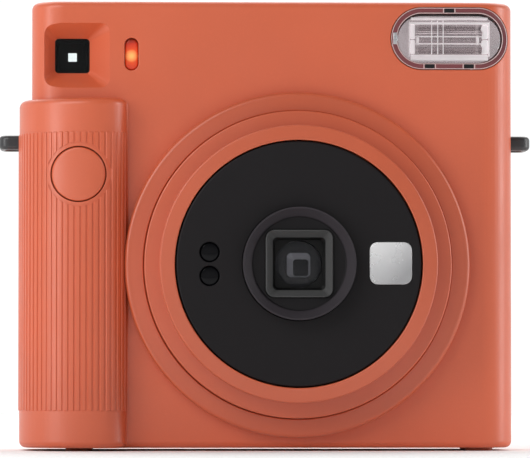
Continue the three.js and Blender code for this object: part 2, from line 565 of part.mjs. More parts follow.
add("battery_door", batteryDoor(), "orange");
const cellHinge = { axis: "Z", at: [CELL_DOOR.hinge.x, CELL_DOOR.hinge.y], segments: 12 };
add("battery_door_pin", cylinder(0.7, CELL_DOOR.bottom - 2, CELL_DOOR.top + 2, cellHinge), "metal");
add("battery_holder", batteryHolder(), "black");
add("battery_lower", cell(CELL.bottom), "cell");
add("battery_upper", cell(CELL.bottom + CELL.length + 0.2), "cell");
const cellAxis = { axis: "Z", at: [CELL.x, CELL.y], segments: 16 };
add("battery_contact_bottom", cylinder(5.5, CELL.bottom - 1.6, CELL.bottom - 0.2, cellAxis), "metal");
const cellsTop = CELL.bottom + 2 * CELL.length + 0.2;
add("battery_contact_top", cylinder(4.5, cellsTop + 0.2, cellsTop + 1.6, cellAxis), "metal");

add("shutter_button", shutterButton(), "orange");
add("shutter_spring", coil(BUTTON.x, BUTTON.z, 3.4, 0.3, 3, -12.8, -10.2), "metal");
add("shutter_switch", box(BUTTON.x - 5, BUTTON.x + 5, -9.7, -6, BUTTON.z - 5, BUTTON.z + 5), "black");

add("lens_bezel", lensBezel(), "orange");
add("lens_ring", lensRing(), "orange");
add("lens_faceplate", lensFaceplate(), "black");
add("lens_housing", lensHousing(), "black");
add("barrel_guide", barrelGuide(), "black");
add("lens_barrel", lensBarrel(), "black");
add("lens_hood", lensHood(), "black");
add("front_lens", lensElement(6.3, -23.4, -20.2, 0.9), "glass");
add("rear_lens", lensElement(6, -16.4, -13.4, 0.7), "glass");
add("shutter_unit", shutterUnit(), "black");
const mirrorShape = rounded(MIRROR.x, MIRROR.z, MIRROR.size, MIRROR.size, 2);
add("selfie_mirror", alongY(mirrorShape, DISC.front - 0.1, DISC.front + MIRROR.thick), "metal");
const sensorNames = ["exposure_sensor_window", "flash_sensor_window"];
sensorNames.forEach((name, i) => {
  const at = [SENSOR.x, SENSOR.z[i]];
  add(name, cylinder(SENSOR.radius - FIT, DISC.front + 0.6, DISC.back, { at, segments: SMALL }), "black");
});

const throat = FRONT + FUNNEL.depth + 1.3;
add("viewfinder_window", alongY(rounded(FINDER.x, FINDER.z, 11, 11, 1), throat, throat + 0.8), "glass");
add("viewfinder_tube", viewfinderTube(), "black");
add("eyepiece_lens", alongY(rounded(FINDER.x, FINDER.z, 12, 11, 1), BACK - 2.85, BACK - 1.95), "glass");
const eyepiece = rounded(FINDER.x, FINDER.z, 16, 13, 2);
eyepiece.holes.push(rounded(FINDER.x, FINDER.z, 10, 9, 1.2));
add("eyepiece_frame", alongY(eyepiece, BACK - 1.8, BACK).intersect(outside), "black");
const lampShape = pill(LAMP.x, LAMP.z, LAMP.w - 0.2, LAMP.h - 0.2);
add("lamp_window", alongY(lampShape, FRONT + 0.7, FRONT + 3.4), "amber");

const flashOpening = alongY(flashPill(FLASH.rim), FRONT - 3, FRONT + 7);
const bezelRing = cut(alongY(flashPill(0), FRONT - 2, FRONT + 6.6), flashOpening);
add("flash_bezel", bezelRing.intersect(outside), "darkRed");
const windowPill = alongY(flashPill(FLASH.rim + FIT), FRONT - 2, FRONT + 6);
add("flash_window", cut(windowPill.intersect(bodyForm(0.3)), bodyForm(1.7)), "glass");
add("flash_reflector", flashReflector(), "metal");
const tubeAxis = { axis: "X", at: [-6.6, FLASH.z], segments: 12 };
add("flash_tube", cylinder(0.95, FLASH.x - 12.4, FLASH.x + 12.4, tubeAxis), "glass");

add("chassis", chassis(), "black");
add("light_cone", lightCone(), "black");
add("drive_roller", roller(DRIVE_Y, 0, true), "metal");
add("pinch_roller", roller(PINCH_Y, Math.PI, false), "metal");
add("roller_plate_left", rollerPlate(-33.2, -31.4), "metal");
add("roller_plate_right", rollerPlate(47, 48.8), "metal");
const UP = Math.PI / 2;
// The drive roller has a tooth towards +Y, which puts a gap straight below it. The idler has a tooth at its
// top and another at its bottom, and the pinion has a gap at its top.
const idler = gear(IDLER.teeth, DRIVE_Y, IDLER.z, UP, true);
const pinBore = cylinder(1.02, -far, far, { axis: "X", at: [DRIVE_Y, IDLER.z], segments: SMALL });
add("idler_gear", cut(idler, pinBore), "metal");
const motorAxis = { axis: "X", at: [DRIVE_Y, PINION.z], segments: 20 };
const pinionShaft = cylinder(0.8, MOTOR.right + 0.2, GEAR_X[0] + 0.5, { ...motorAxis, segments: 12 });
add("motor_pinion", join(gear(PINION.teeth, DRIVE_Y, PINION.z, UP, false), pinionShaft), "metal");
add("eject_motor", cylinder(MOTOR.radius, MOTOR.left, MOTOR.right, motorAxis), "metal");

const slotFrame = slotPlan(0);
slotFrame.holes.push(rounded(LENS.x, FILM_Y, 76, 5, 0.8));
add("film_slot_frame", alongZ(slotFrame, HEIGHT - WALL - 0.8, HEIGHT - 0.1), "black");
add("circuit_board", box(54.4, 56, -5, 21, 10, 92), "board");
add("flash_capacitor", cylinder(5, 18, 56, { axis: "Z", at: [-52, -5.5], segments: 20 }), "black");
const dialAt = { at: [COUNTER.x, COUNTER.z], segments: 20 };
const dialShaft = cylinder(1.5, 24.4, 28.4, dialAt);
add("counter_dial", join(cylinder(COUNTER.radius, 25.6, 26.6, dialAt), dialShaft), "black");
const counterShape = rounded(COUNTER.x, COUNTER.z + 4.2, 4.8, 3.8, 0.6);
add("counter_window", alongY(counterShape, BACK - 1.3, BACK - 0.4), "glass");

add("strap_lug_left", strapLug(-1), "black");
add("strap_lug_right", strapLug(1), "black");
SCREWS.forEach(([x, y], i) => add(`case_screw_${i + 1}`, screw(x, y), "metal"));

export default camera;
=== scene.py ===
"""The instant camera's looks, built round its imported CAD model.

Shapes are made in millimetres and scaled to metres as each piece is finished. +Z is up, the lens looks along
-Y, and +X is on the right as seen from the front.
"""

import json
import math

import bmesh
import bpy
from mathutils import Matrix, Vector


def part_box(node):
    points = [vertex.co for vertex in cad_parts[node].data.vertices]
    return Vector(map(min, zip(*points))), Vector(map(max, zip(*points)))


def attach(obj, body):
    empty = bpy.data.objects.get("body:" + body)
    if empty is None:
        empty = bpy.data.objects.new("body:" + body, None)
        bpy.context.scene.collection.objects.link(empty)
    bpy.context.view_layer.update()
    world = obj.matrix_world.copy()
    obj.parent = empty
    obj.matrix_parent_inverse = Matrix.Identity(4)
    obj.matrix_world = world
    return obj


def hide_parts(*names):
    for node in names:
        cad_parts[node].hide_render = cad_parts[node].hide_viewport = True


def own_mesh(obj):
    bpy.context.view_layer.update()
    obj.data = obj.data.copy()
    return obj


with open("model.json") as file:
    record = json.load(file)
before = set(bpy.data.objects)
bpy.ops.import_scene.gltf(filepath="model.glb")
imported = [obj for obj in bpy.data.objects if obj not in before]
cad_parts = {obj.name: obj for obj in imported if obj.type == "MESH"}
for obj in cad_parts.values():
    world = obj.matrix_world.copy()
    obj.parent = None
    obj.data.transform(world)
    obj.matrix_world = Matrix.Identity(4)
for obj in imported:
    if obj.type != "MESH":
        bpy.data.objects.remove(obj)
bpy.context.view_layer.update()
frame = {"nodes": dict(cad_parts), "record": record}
SLOTS = {part["node"]: part["material_slot"] for part in frame["record"]["subparts"]}
MM = 0.001


class Span:
    """The box of a CAD node at rest, in millimetres: its low and high sides and its middle."""

    def __init__(self, node):
        low, high = (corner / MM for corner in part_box(node))
        (self.x0, self.y0, self.z0), (self.x1, self.y1, self.z1) = low, high
        self.x, self.y, self.z = (low + high) / 2
        self.width, self.depth, self.height = high - low


# ---- driving dimensions
FRONT_COVER, REAR_COVER = Span("front_cover"), Span("rear_cover")
GRIP_DEPTH = 7.0
FRONT = FRONT_COVER.y0 + GRIP_DEPTH  # the flat front face
BACK, TOP, SIDE = REAR_COVER.y1, REAR_COVER.z1, REAR_COVER.x1
BODY_LEFT = REAR_COVER.x0 + 3.35  # the body's left side above the grip
FOOT = 0.8
WALL = 2.0
CORNER = 8.6  # the body's upright corners
EDGE = 1.8  # rounding along its top and bottom
FAR = 300.0

GRIP_RADIUS, GRIP_TOP, GRIP_WIDTH, VALLEY = 18.7, 92.7, 9.6, 0.8
APEX = REAR_COVER.x0 + GRIP_RADIUS
GRIP_AXIS = FRONT_COVER.y0 + GRIP_RADIUS

PLATE = Span("lens_faceplate")
LENS = (PLATE.x, PLATE.z)
FINE = 192  # facets of the large rings


# ---- outlines: lists of (a, b), anticlockwise
def arc(a, b, radius, start, end, steps):
    angles = [math.radians(start + (end - start) * i / steps) for i in range(steps + 1)]
    return [(a + radius * math.cos(t), b + radius * math.sin(t)) for t in angles]


def rounded(a, b, width, height, radius, steps=8):
    """A rectangle about (a, b) with round corners."""
    x, y = width / 2 - radius, height / 2 - radius
    corners = ((x, y, 0), (-x, y, 90), (-x, -y, 180), (x, -y, 270))
    return [p for dx, dy, turn in corners for p in arc(a + dx, b + dy, radius, turn, turn + 90, steps)]


def pill(a, b, width, height, steps=20):
    return rounded(a, b, width, height, min(width, height) / 2 - 0.01, steps)


def circle(a, b, radius, steps=64):
    return arc(a, b, radius, 0, 360 * (1 - 1 / steps), steps - 1)


def filleted(corners, steps=6):
    """An outline through corners (a, b, radius), each of them rounded by its radius."""
    points = []
    for i, (a, b, radius) in enumerate(corners):
        here = Vector((a, b))
        before = (Vector(corners[i - 1][:2]) - here).normalized()
        after = (Vector(corners[(i + 1) % len(corners)][:2]) - here).normalized()
        if radius == 0:
            points.append(tuple(here))
            continue
        half = before.angle(after) / 2
        middle = here + (before + after).normalized() * radius / math.sin(half)
        start = here + before * radius / math.tan(half) - middle
        sweep = (math.pi - 2 * half) * (1 if before.cross(after) < 0 else -1)
        for k in range(steps + 1):
            points.append(tuple(middle + Matrix.Rotation(sweep * k / steps, 2) @ start))
    return points


def area(points):
    return sum(a[0] * b[1] - b[0] * a[1] for a, b in zip(points, points[1:] + points[:1])) / 2


def grown(points, distance):
    """The outline moved out by distance, or in where it is negative."""
    if distance == 0:
        return points
    sign = 1 if area(points) > 0 else -1
    moved = []
    for i, (a, b) in enumerate(points):
        normals = []
        for p, q in ((points[i - 1], points[i]), (points[i], points[(i + 1) % len(points)])):
            along = Vector((q[0] - p[0], q[1] - p[1]))
            if along.length > 1e-6:
                normals.append(Vector((along.y, -along.x)).normalized() * sign)
        first, last = normals[0], normals[-1]
        shift = (first + last) / max(1 + first.dot(last), 0.2) * distance
        moved.append((a + shift.x, b + shift.y))
    return moved


# ---- solids
def solid(name, vertices, faces):
    mesh = bpy.data.meshes.new(name)
    mesh.from_pydata(vertices, [], faces)
    obj = bpy.data.objects.new(name, mesh)
    bpy.context.scene.collection.objects.link(obj)
    clean(mesh, 1e-4)
    return obj


def clean(mesh, distance):
    """Joins points that lie on each other, and turns every face out."""
    work = bmesh.new()
    work.from_mesh(mesh)
    bmesh.ops.remove_doubles(work, verts=work.verts, dist=distance)
    bmesh.ops.dissolve_degenerate(work, edges=work.edges, dist=distance)
    bmesh.ops.recalc_face_normals(work, faces=work.faces)
    work.to_mesh(mesh)
    work.free()


def loft(name, rings, closed=False):
    """A solid through rings of as many points each: capped, or closed from the last ring to the first."""
    size, count = len(rings[0]), len(rings)
    faces = []
    for k in range(count if closed else count - 1):
        here, there = k * size, (k + 1) % count * size
        for i in range(size):
            j = (i + 1) % size
            faces.append((here + i, here + j, there + j, there + i))
    if not closed:
        faces += [tuple(range(size))[::-1], tuple(range((count - 1) * size, count * size))]
    return solid(name, [p for ring in rings for p in ring], faces)


def from_front(a, b, height):
    return (a, height, b)


def from_above(a, b, height):
    return (a, b, height)


def from_side(a, b, height):
    return (height, a, b)


def edge_rows(low, high, low_edge=0.0, high_edge=0.0, steps=5):
    """Rows of (height, inset) from low to high, with a quarter round of each edge's radius at the ends."""
    quarter = [math.pi / 2 * i / steps for i in range(steps + 1)]

    def rounding(edge):
        return [(edge * (1 - math.cos(t)), edge * (1 - math.sin(t))) for t in quarter] if edge else [(0, 0)]

    rows = [(low + rise, inset) for rise, inset in rounding(low_edge)]
    return rows + [(high - rise, inset) for rise, inset in reversed(rounding(high_edge))]


def prism(name, outline, low, high, put=from_front, edges=(0, 0), steps=5):
    """A solid of an outline from low to high, its rims rounded by edges."""
    rows = edge_rows(low, high, *edges, steps=steps)
    return loft(name, [[put(a, b, h) for a, b in grown(outline, -inset)] for h, inset in rows])


def hole(name, outline, surface, depth, put=from_front, lip=0.3):
    """A cutter that opens at surface with a rounded lip, and goes in by depth, which may be negative."""
    way = 1 if depth > 0 else -1
    rows = [(surface - way * 3, lip)]
    rows += [(surface + way * rise, inset) for rise, inset in edge_rows(0, 1, lip)[:-1]]
    rows.append((surface + depth, 0))
    return loft(name, [[put(a, b, h) for a, b in grown(outline, out)] for h, out in rows])


def block(name, x0, x1, y0, y1, z0, z1, edge=0.0):
    outline = [(x0, y0), (x1, y0), (x1, y1), (x0, y1)]
    if edge:
        outline = rounded((x0 + x1) / 2, (y0 + y1) / 2, x1 - x0, y1 - y0, edge, 3)
    return prism(name, outline, z0, z1, from_above, (edge, edge), 3)


def lathe(name, profile, at, axis="y", steps=64):
    """A closed profile of (radius, height) turned about an axis through at."""
    places = {
        "x": lambda r, h, c, s: (h, at[0] + r * c, at[1] + r * s),
        "y": lambda r, h, c, s: (at[0] + r * c, h, at[1] + r * s),
        "z": lambda r, h, c, s: (at[0] + r * c, at[1] + r * s, h),
    }
    turns = [2 * math.pi * i / steps for i in range(steps)]
    rings = [[places[axis](r, h, math.cos(t), math.sin(t)) for r, h in profile] for t in turns]
    return loft(name, rings, closed=True)


def rod(name, radius, low, high, at, axis="y", edge=0.15, steps=48):
    """A round bar with rounded rims."""
    corners = [(0, low, 0), (radius, low, edge), (radius, high, edge), (0, high, 0)]
    return lathe(name, filleted(corners, 4), at, axis, steps)


def squares(name, at, rows, corner, steps):
    """A solid through squares of (depth, size) about at, as seen from the front."""
    return loft(name, [[(a, y, b) for a, b in rounded(*at, size, size, corner, steps)] for y, size in rows])


def face(span, corner, grow=0.0):
    """A span's outline from the front, with round corners, and larger by grow."""
    return rounded(span.x, span.z, span.width + grow, span.height + grow, corner)


def coil(name, wire, turns, steps, axis, place):
    """A round wire wound about an axis. place(t, angle) gives its middle and the way out from the axis."""
    rings = []
    for i in range(steps + 1):
        t = i / steps
        middle, out = place(t, 2 * math.pi * turns * t)
        section = [math.pi / 4 * k for k in range(8)]
        rings.append([tuple(middle + wire * (out * math.cos(a) + axis * math.sin(a))) for a in section])
    return loft(name, rings)


def apply_modifiers(obj):
    mesh = bpy.data.meshes.new_from_object(obj.evaluated_get(bpy.context.evaluated_depsgraph_get()))
    obj.modifiers.clear()
    obj.data = mesh


def combine(target, operation, *others):
    for other in others:
        modifier = target.modifiers.new("combine", "BOOLEAN")
        modifier.operation, modifier.object, modifier.solver = operation, other, "MANIFOLD"
        apply_modifiers(target)
        bpy.data.objects.remove(other)
    return target


def join(target, *others):
    return combine(target, "UNION", *others)


def cut(target, *others):
    return combine(target, "DIFFERENCE", *others)


def common(target, *others):
    return combine(target, "INTERSECT", *others)


def gather(target, *others):
    """Puts solids that only touch into one mesh."""
    work = bmesh.new()
    for obj in (target, *others):
        work.from_mesh(obj.data)
    work.to_mesh(target.data)
    work.free()
    for other in others:
        bpy.data.objects.remove(other)
    return target


def piece(obj, material, cad_node=None, body="camera_body", smooth=33):
    """Scales a solid to metres, shades it and hangs it on its body, in place of any CAD node named."""
    mesh = obj.data
    mesh.transform(Matrix.Scale(MM, 4))
    clean(mesh, 1e-6)
    mesh.shade_smooth()
    mesh.set_sharp_from_angle(angle=math.radians(smooth))
    modifier = obj.modifiers.new("normals", "WEIGHTED_NORMAL")
    modifier.keep_sharp = True
    apply_modifiers(obj)
    obj.data.materials.clear()
    obj.data.materials.append(material)
    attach(obj, body)
    if cad_node:
        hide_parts(cad_node)
    return obj


# ---- materials
def node(tree, kind, inputs=None, **settings):
    made = tree.nodes.new("ShaderNode" + kind)
    for key, value in settings.items():
        setattr(made, key, value)
    for key, value in (inputs or {}).items():
        if isinstance(value, bpy.types.NodeSocket):
            tree.links.new(value, made.inputs[key])
        else:
            made.inputs[key].default_value = value
    return made


def new_material(name):
    material = bpy.data.materials.new(name)
    material.use_nodes = True
    tree = material.node_tree
    tree.nodes.clear()
    output = node(tree, "OutputMaterial")
    place = node(tree, "TexCoord").outputs["Object"]
    return material, tree, output, place


def noise(tree, place, size, detail=2.0, stretch=None, distortion=0.0):
    """Noise with features of about size millimetres, longer along an axis where stretch is under 1."""
    if stretch:
        place = node(tree, "Mapping", {"Vector": place, "Scale": stretch}).outputs["Vector"]
    inputs = {"Vector": place, "Scale": 1 / (size * MM), "Detail": detail, "Distortion": distortion}
    return node(tree, "TexNoise", inputs).outputs["Fac"]


def remap(tree, value, low, high, start=0.3, end=0.7):
    inputs = {"Value": value, "From Min": start, "From Max": end, "To Min": low, "To Max": high}
    return node(tree, "MapRange", inputs).outputs["Result"]


def mixed(tree, factor, first, second, blend="MIX"):
    made = node(tree, "Mix", data_type="RGBA", blend_type=blend)
    for socket, value in ((made.inputs["Factor"], factor), (made.inputs[6], first), (made.inputs[7], second)):
        if isinstance(value, bpy.types.NodeSocket):
            tree.links.new(value, socket)
        elif isinstance(value, (int, float)):
            socket.default_value = value
        else:
            socket.default_value = (*value, 1)
    return made.outputs[2]


def scaled(colour, factor):
    return tuple(c * factor for c in colour)


def bumps(tree, *layers):
    """Stacks of bump from pairs of (height socket, depth in millimetres)."""
    normal = None
    for height, depth in layers:
        made = node(tree, "Bump", {"Height": height, "Distance": depth * MM, "Strength": 1.0})
        if normal:
            tree.links.new(normal, made.inputs["Normal"])
        normal = made.outputs["Normal"]
    return normal


def shaded(material, tree, output, inputs):
    """The finished material, with its one shader."""
    shader = node(tree, "BsdfPrincipled", inputs)
    tree.links.new(shader.outputs[0], output.inputs[0])
    return material


def moulded(name, colour, roughness=0.42, grain=0.22, depth=0.006, shade=0.05, specular=0.5, scuffs=0.08,
            coat=0.0, painted_depth_shading=None):
    """Moulded plastic: a fine eroded grain, faint flow marks in its colour, an uneven gloss and light scuffs.

    The last argument, when it is (low, high, factor), multiplies the colour by factor at Y = low, and by 1
    from Y = high: painted light and shade that change with depth.
    """
    material, tree, output, place = new_material(name)
    flow = remap(tree, noise(tree, place, 38, 2), 0, 1)
    tint = mixed(tree, flow, scaled(colour, 1 - shade), scaled(colour, 1 + shade))
    # painted light and shade: the colour scaled by depth along Y
    if painted_depth_shading:
        low, high, factor = painted_depth_shading
        deep = mixed(tree, 1.0, tint, (factor,) * 3, "MULTIPLY")
        tint = mixed(tree, along(tree, place, "Y", low, high), deep, tint)
    dust = remap(tree, noise(tree, place, 0.5, 3), 0, 0.08, 0.55, 0.8)
    tint = mixed(tree, dust, tint, scaled(colour, 1.5))
    gloss = remap(tree, noise(tree, place, 15, 4), roughness - 0.05, roughness + 0.05)
    rubs = remap(tree, noise(tree, place, 2.4, 4, (1, 1, 7), distortion=0.6), 0, scuffs, 0.62, 0.75)
    gloss = node(tree, "Math", {0: gloss, 1: rubs}, operation="ADD").outputs[0]
    normal = bumps(tree, (noise(tree, place, grain, 3), depth), (noise(tree, place, 6, 2), 0.01))
    inputs = {"Base Color": tint, "Roughness": gloss, "Normal": normal, "Specular IOR Level": specular}
    return shaded(material, tree, output, {**inputs, "Coat Weight": coat, "Coat Roughness": 0.08})


def metal(name, colour, roughness=0.25, brushed=None, depth=0.002, stain=0.12):
    """Bare metal with brush lines along an axis, faint stains and an uneven polish."""
    material, tree, output, place = new_material(name)
    lines = noise(tree, place, 0.25, 4, brushed or (1, 1, 1))
    tarnish = remap(tree, noise(tree, place, 7, 4), 0, stain, 0.4, 0.75)
    tint = mixed(tree, tarnish, colour, scaled(colour, 0.35))
    gloss = remap(tree, lines, roughness * 0.7, roughness * 1.4)
    inputs = {"Base Color": tint, "Roughness": gloss, "Metallic": 1.0, "Normal": bumps(tree, (lines, depth))}
    return shaded(material, tree, output, inputs)


def clear(name, tint=(0.96, 0.98, 0.98), mirror=0.05, haze=0.02):
    """Thin clear plastic or glass: it mirrors more at a glance, and carries faint smears."""
    material, tree, output, place = new_material(name)
    smear = remap(tree, noise(tree, place, 3.5, 3, (1, 1, 2.5)), 0, 1, 0.45, 0.75)
    gloss_roughness = remap(tree, smear, 0.03, 0.15, 0, 1)
    through = node(tree, "BsdfTransparent", {"Color": (*tint, 1)})
    ripple = bumps(tree, (noise(tree, place, 4, 1), 0.004))
    shine = node(tree, "BsdfGlossy", {"Color": (1, 1, 1, 1), "Roughness": gloss_roughness, "Normal": ripple})
    edge = node(tree, "LayerWeight", {"Blend": 0.25}).outputs["Fresnel"]
    range_inputs = {"Value": edge, "From Min": 0.02, "From Max": 1, "To Min": mirror, "To Max": 1}
    share = node(tree, "MapRange", range_inputs)
    panes = node(tree, "MixShader", {0: share.outputs[0], 1: through.outputs[0], 2: shine.outputs[0]})
    dull = node(tree, "BsdfDiffuse", {"Color": (0.8, 0.8, 0.8, 1)})
    film = remap(tree, smear, haze * 0.4, haze, 0, 1)
    whole = node(tree, "MixShader", {0: film, 1: panes.outputs[0], 2: dull.outputs[0]})
    tree.links.new(whole.outputs[0], output.inputs[0])
    return material


def ramp(tree, factor, *stops, interpolation="LINEAR"):
    made = node(tree, "ValToRGB", {"Fac": factor})
    made.color_ramp.interpolation = interpolation
    elements = made.color_ramp.elements
    while len(elements) < len(stops):
        elements.new(0.5)
    for element, (place, colour) in zip(elements, stops):
        element.position = place
        element.color = (*colour, 1)
    return made.outputs["Color"]


def along(tree, place, axis, low, high):
    """0 to 1 from low to high millimetres along an axis."""
    value = node(tree, "SeparateXYZ", {0: place}).outputs["XYZ".index(axis)]
    return remap(tree, value, 0, 1, low * MM, high * MM)


ORANGE = (0.63, 0.114, 0.042)
orange = moulded("orange_plastic", ORANGE, 0.38, specular=0.75)
# painted shade: the body's orange, darkened for the bezel's and the ring's faces
bezel_orange_painted_shade = moulded("bezel_plastic_painted_shade", scaled(ORANGE, 0.84), 0.36, grain=0.18, specular=0.75)
ring_orange_painted_shade = moulded("ring_plastic_painted_shade", scaled(ORANGE, 0.87), 0.36, grain=0.18, specular=0.75)
black = moulded("black_plastic", (0.008, 0.007, 0.008), 0.42, specular=0.3)
disc_black = moulded("faceplate_black", (0.0085, 0.007, 0.008), 0.5, grain=0.12, depth=0.003, specular=0.21)
# painted shade: near black on the barrel's sunken floor; five times lighter towards the collar's front, part
# the plastic's own grey and part painted light
barrel_black_painted_shade = moulded("barrel_black_painted_shade", (0.007, 0.006, 0.007), 0.55, grain=0.15, specular=0.2,
                       painted_depth_shading=(-28.75, -28.35, 5.0))
# painted light and shade: the hood's front walls eighteen times lighter, its steps deeper in left near black
# as painted shade
hood_black_painted_shade = moulded("hood_black_painted_shade", (0.004,) * 3, 0.5, grain=0.15, specular=0.2, painted_depth_shading=(-26.9, -26.6, 18.0))
inner_black = moulded("inner_black", (0.003, 0.003, 0.003), 0.6, specular=0.1)
gloss_black = moulded("gloss_black", (0.003, 0.003, 0.004), 0.08, depth=0.0005, scuffs=0.03, specular=0.15)
lug_black = moulded("lug_black", (0.028, 0.027, 0.029), 0.35, specular=0.6)
nylon = moulded("gear_nylon", (0.80, 0.78, 0.70), 0.45, shade=0.03)
steel = metal("brushed_steel", (0.62, 0.62, 0.64), 0.3, (0.05, 1, 1))
bright_steel = metal("bright_steel", (0.80, 0.80, 0.82), 0.18, (1, 1, 0.1))
glass = clear("coated_glass", (0.82, 0.82, 0.84), 0.01, 0.004)
pane = clear("clear_pane", mirror=0.005, haze=0.002)
clear_pane = clear("flash_pane", (1.0, 0.98, 0.985), 0.02, 0.006)


# ---- the outer form
def body_plan(inset):
    middle = ((BODY_LEFT + SIDE) / 2, (FRONT + BACK) / 2)
    return rounded(*middle, SIDE - BODY_LEFT - 2 * inset, BACK - FRONT - 2 * inset, CORNER - inset, 14)


def grip_plan(inset):
    """The column under the grip: a valley at its right, an ellipse to its apex, and an arc to its left."""
    right = APEX + GRIP_WIDTH
    points = [(right + VALLEY, BACK - inset)]
    points += arc(right + VALLEY, FRONT - VALLEY, VALLEY + inset, 90, 180, 6)
    reach, rise = GRIP_WIDTH - inset, GRIP_DEPTH - VALLEY - inset
    turns = [math.pi / 2 * i / 20 for i in range(1, 20)]
    points += [(APEX + reach * math.cos(t), FRONT - VALLEY - rise * math.sin(t)) for t in turns]
    points += arc(APEX, GRIP_AXIS, GRIP_RADIUS - inset, 270, 180, 36)
    return points + arc(REAR_COVER.x0 + CORNER, BACK - CORNER, CORNER - inset, 180, 90, 12)


def column(plan, inset, top):
    edge = max(EDGE - inset, 0)
    rows = edge_rows(FOOT + inset, top - inset, edge, edge, 6)
    return loft("column", [[(x, y, z) for x, y in plan(inset + extra)] for z, extra in rows])


def form(inset=0.0):
    return join(column(body_plan, inset, TOP), column(grip_plan, inset, GRIP_TOP))


def front_y(x):
    """The body's front surface at x: flat, and round at its two corners."""
    over = max(BODY_LEFT + CORNER - x, x - SIDE + CORNER, 0)
    return FRONT + CORNER - math.sqrt(max(CORNER**2 - over**2, 0))


def grip_y(x):
    """The grip's surface at x."""
    if x < APEX:
        return GRIP_AXIS - math.sqrt(GRIP_RADIUS**2 - (x - APEX) ** 2)
    return FRONT - VALLEY - (GRIP_DEPTH - VALLEY) * math.sqrt(1 - ((x - APEX) / GRIP_WIDTH) ** 2)


def on_front(a, b, height):
    return (a, front_y(a) + height, b)


def on_grip(a, b, height):
    return (a, grip_y(a) + height, b)


RIB_PITCH, RIB_HEIGHT, RIB_SINK = 1.6, 0.24, 0.15
RIBS_LOW, RIBS_HIGH = 10.4, 83.9


def grip_path():
    """Points along the grip's surface from its left side to the valley, and their distances from its apex."""
    left = [(REAR_COVER.x0, 2.7)] + arc(APEX, GRIP_AXIS, GRIP_RADIUS, 180, 270, 120)
    turns = [math.pi / 2 * i / 80 for i in range(79, -1, -1)]
    rise = GRIP_DEPTH - VALLEY
    right = [(APEX + GRIP_WIDTH * math.cos(t), FRONT - VALLEY - rise * math.sin(t)) for t in turns]
    points = [Vector(p) for p in left + right]
    lengths = [0.0]
    for p, q in zip(points, points[1:]):
        lengths.append(lengths[-1] + (q - p).length)
    start = lengths[len(left) - 1]
    return points, [length - start for length in lengths]


def ribs():
    """The band of fine upright ribs round the grip."""
    points, lengths = grip_path()

    def at(distance, height):
        k = max(i for i, length in enumerate(lengths[:-1]) if length <= distance)
        share = (distance - lengths[k]) / (lengths[k + 1] - lengths[k])
        along_path = (points[k + 1] - points[k]).normalized()
        out = Vector((along_path.y, -along_path.x))
        return points[k].lerp(points[k + 1], share) + out * height

    crest = 0.2  # the middle of the first rib right of the apex
    first = math.ceil((lengths[0] + 0.8 - crest) / RIB_PITCH)
    last = math.floor((lengths[-1] - 0.7 - crest) / RIB_PITCH)
    middles = [crest + RIB_PITCH * k for k in range(first, last + 1)]
    half = [(0.3, 1), (0.46, 0.93), (0.58, 0.6), (0.66, 0)]  # half of one rib's section
    section = [(-across, rise) for across, rise in reversed(half)] + half

    def ring(z, share):
        full = RIB_SINK + RIB_HEIGHT * share
        outer = [at(m + ds, rise * full - RIB_SINK) for m in middles for ds, rise in section]
        inner = [at(m, -1.0) for m in reversed(middles)]
        return [(x, y, z) for x, y in outer + inner]

    rows = ((RIBS_LOW, -0.3), (RIBS_LOW + 0.25, 0.7), (RIBS_LOW + 0.5, 1))
    rows += ((RIBS_HIGH - 0.5, 1), (RIBS_HIGH - 0.25, 0.7), (RIBS_HIGH, -0.3))
    band = loft("ribs", [ring(*row) for row in rows])
    return cut(band, prism("clearing", circle(BUTTON.x, BUTTON.z, BUTTON_RADIUS + 1.35), -40, 0))


BUTTON, BUTTON_RADIUS = Span("shutter_button"), 7.1
BUTTON_AT = (BUTTON.x, BUTTON.z)


# ---- front cover
FINDER = Span("viewfinder_window")
FINDER_AT = (FINDER.x, FINDER.z)
FUNNEL = (FINDER.x + 0.57, FINDER.z - 0.25)
FUNNEL_MOUTH = (18.66, 17.15)
FUNNEL_DEPTH = 5.6
FINDER_HOLE = 9.2
LAMP, FLASH = Span("lamp_window"), Span("flash_bezel")
LAMP_SIZE = (3.7, 8.6)
FLASH_AT, FLASH_SIZE, FLASH_RIM = (FLASH.x, FLASH.z), (FLASH.width, FLASH.height), 1.55


def funnel():
    """The square funnel in front of the viewfinder, with a crisp, slightly rounded lip."""
    rings = []
    for height, share in ((-2.0, -0.36), (0.0, 0.0), (FUNNEL_DEPTH, 1.0)):
        size = [mouth + (FINDER_HOLE - mouth) * share for mouth in FUNNEL_MOUTH]
        centre = [mouth + (end - mouth) * share for mouth, end in zip(FUNNEL, FINDER_AT)]
        rings.append([(a, FRONT + height, b) for a, b in rounded(*centre, *size, 2.4 - 1.4 * share, 6)])
    return loft("funnel", rings)


def halfspace(y0, y1):
    return block("half", -FAR, FAR, y0, y1, -FAR, FAR)


def lug_window(side):
    lug = Span("strap_lug_right")
    x = side * (SIDE - WALL / 2)
    return block("lug_window", x - 2, x + 2, -2.1, 10.1, lug.z - 2, lug.z + 2)


def feet(y):
    return [prism("foot", pill(x, y, 7.2, 4), 0, FOOT + 0.5, from_above, (0.25, 0)) for x in (-49.4, 56.7)]


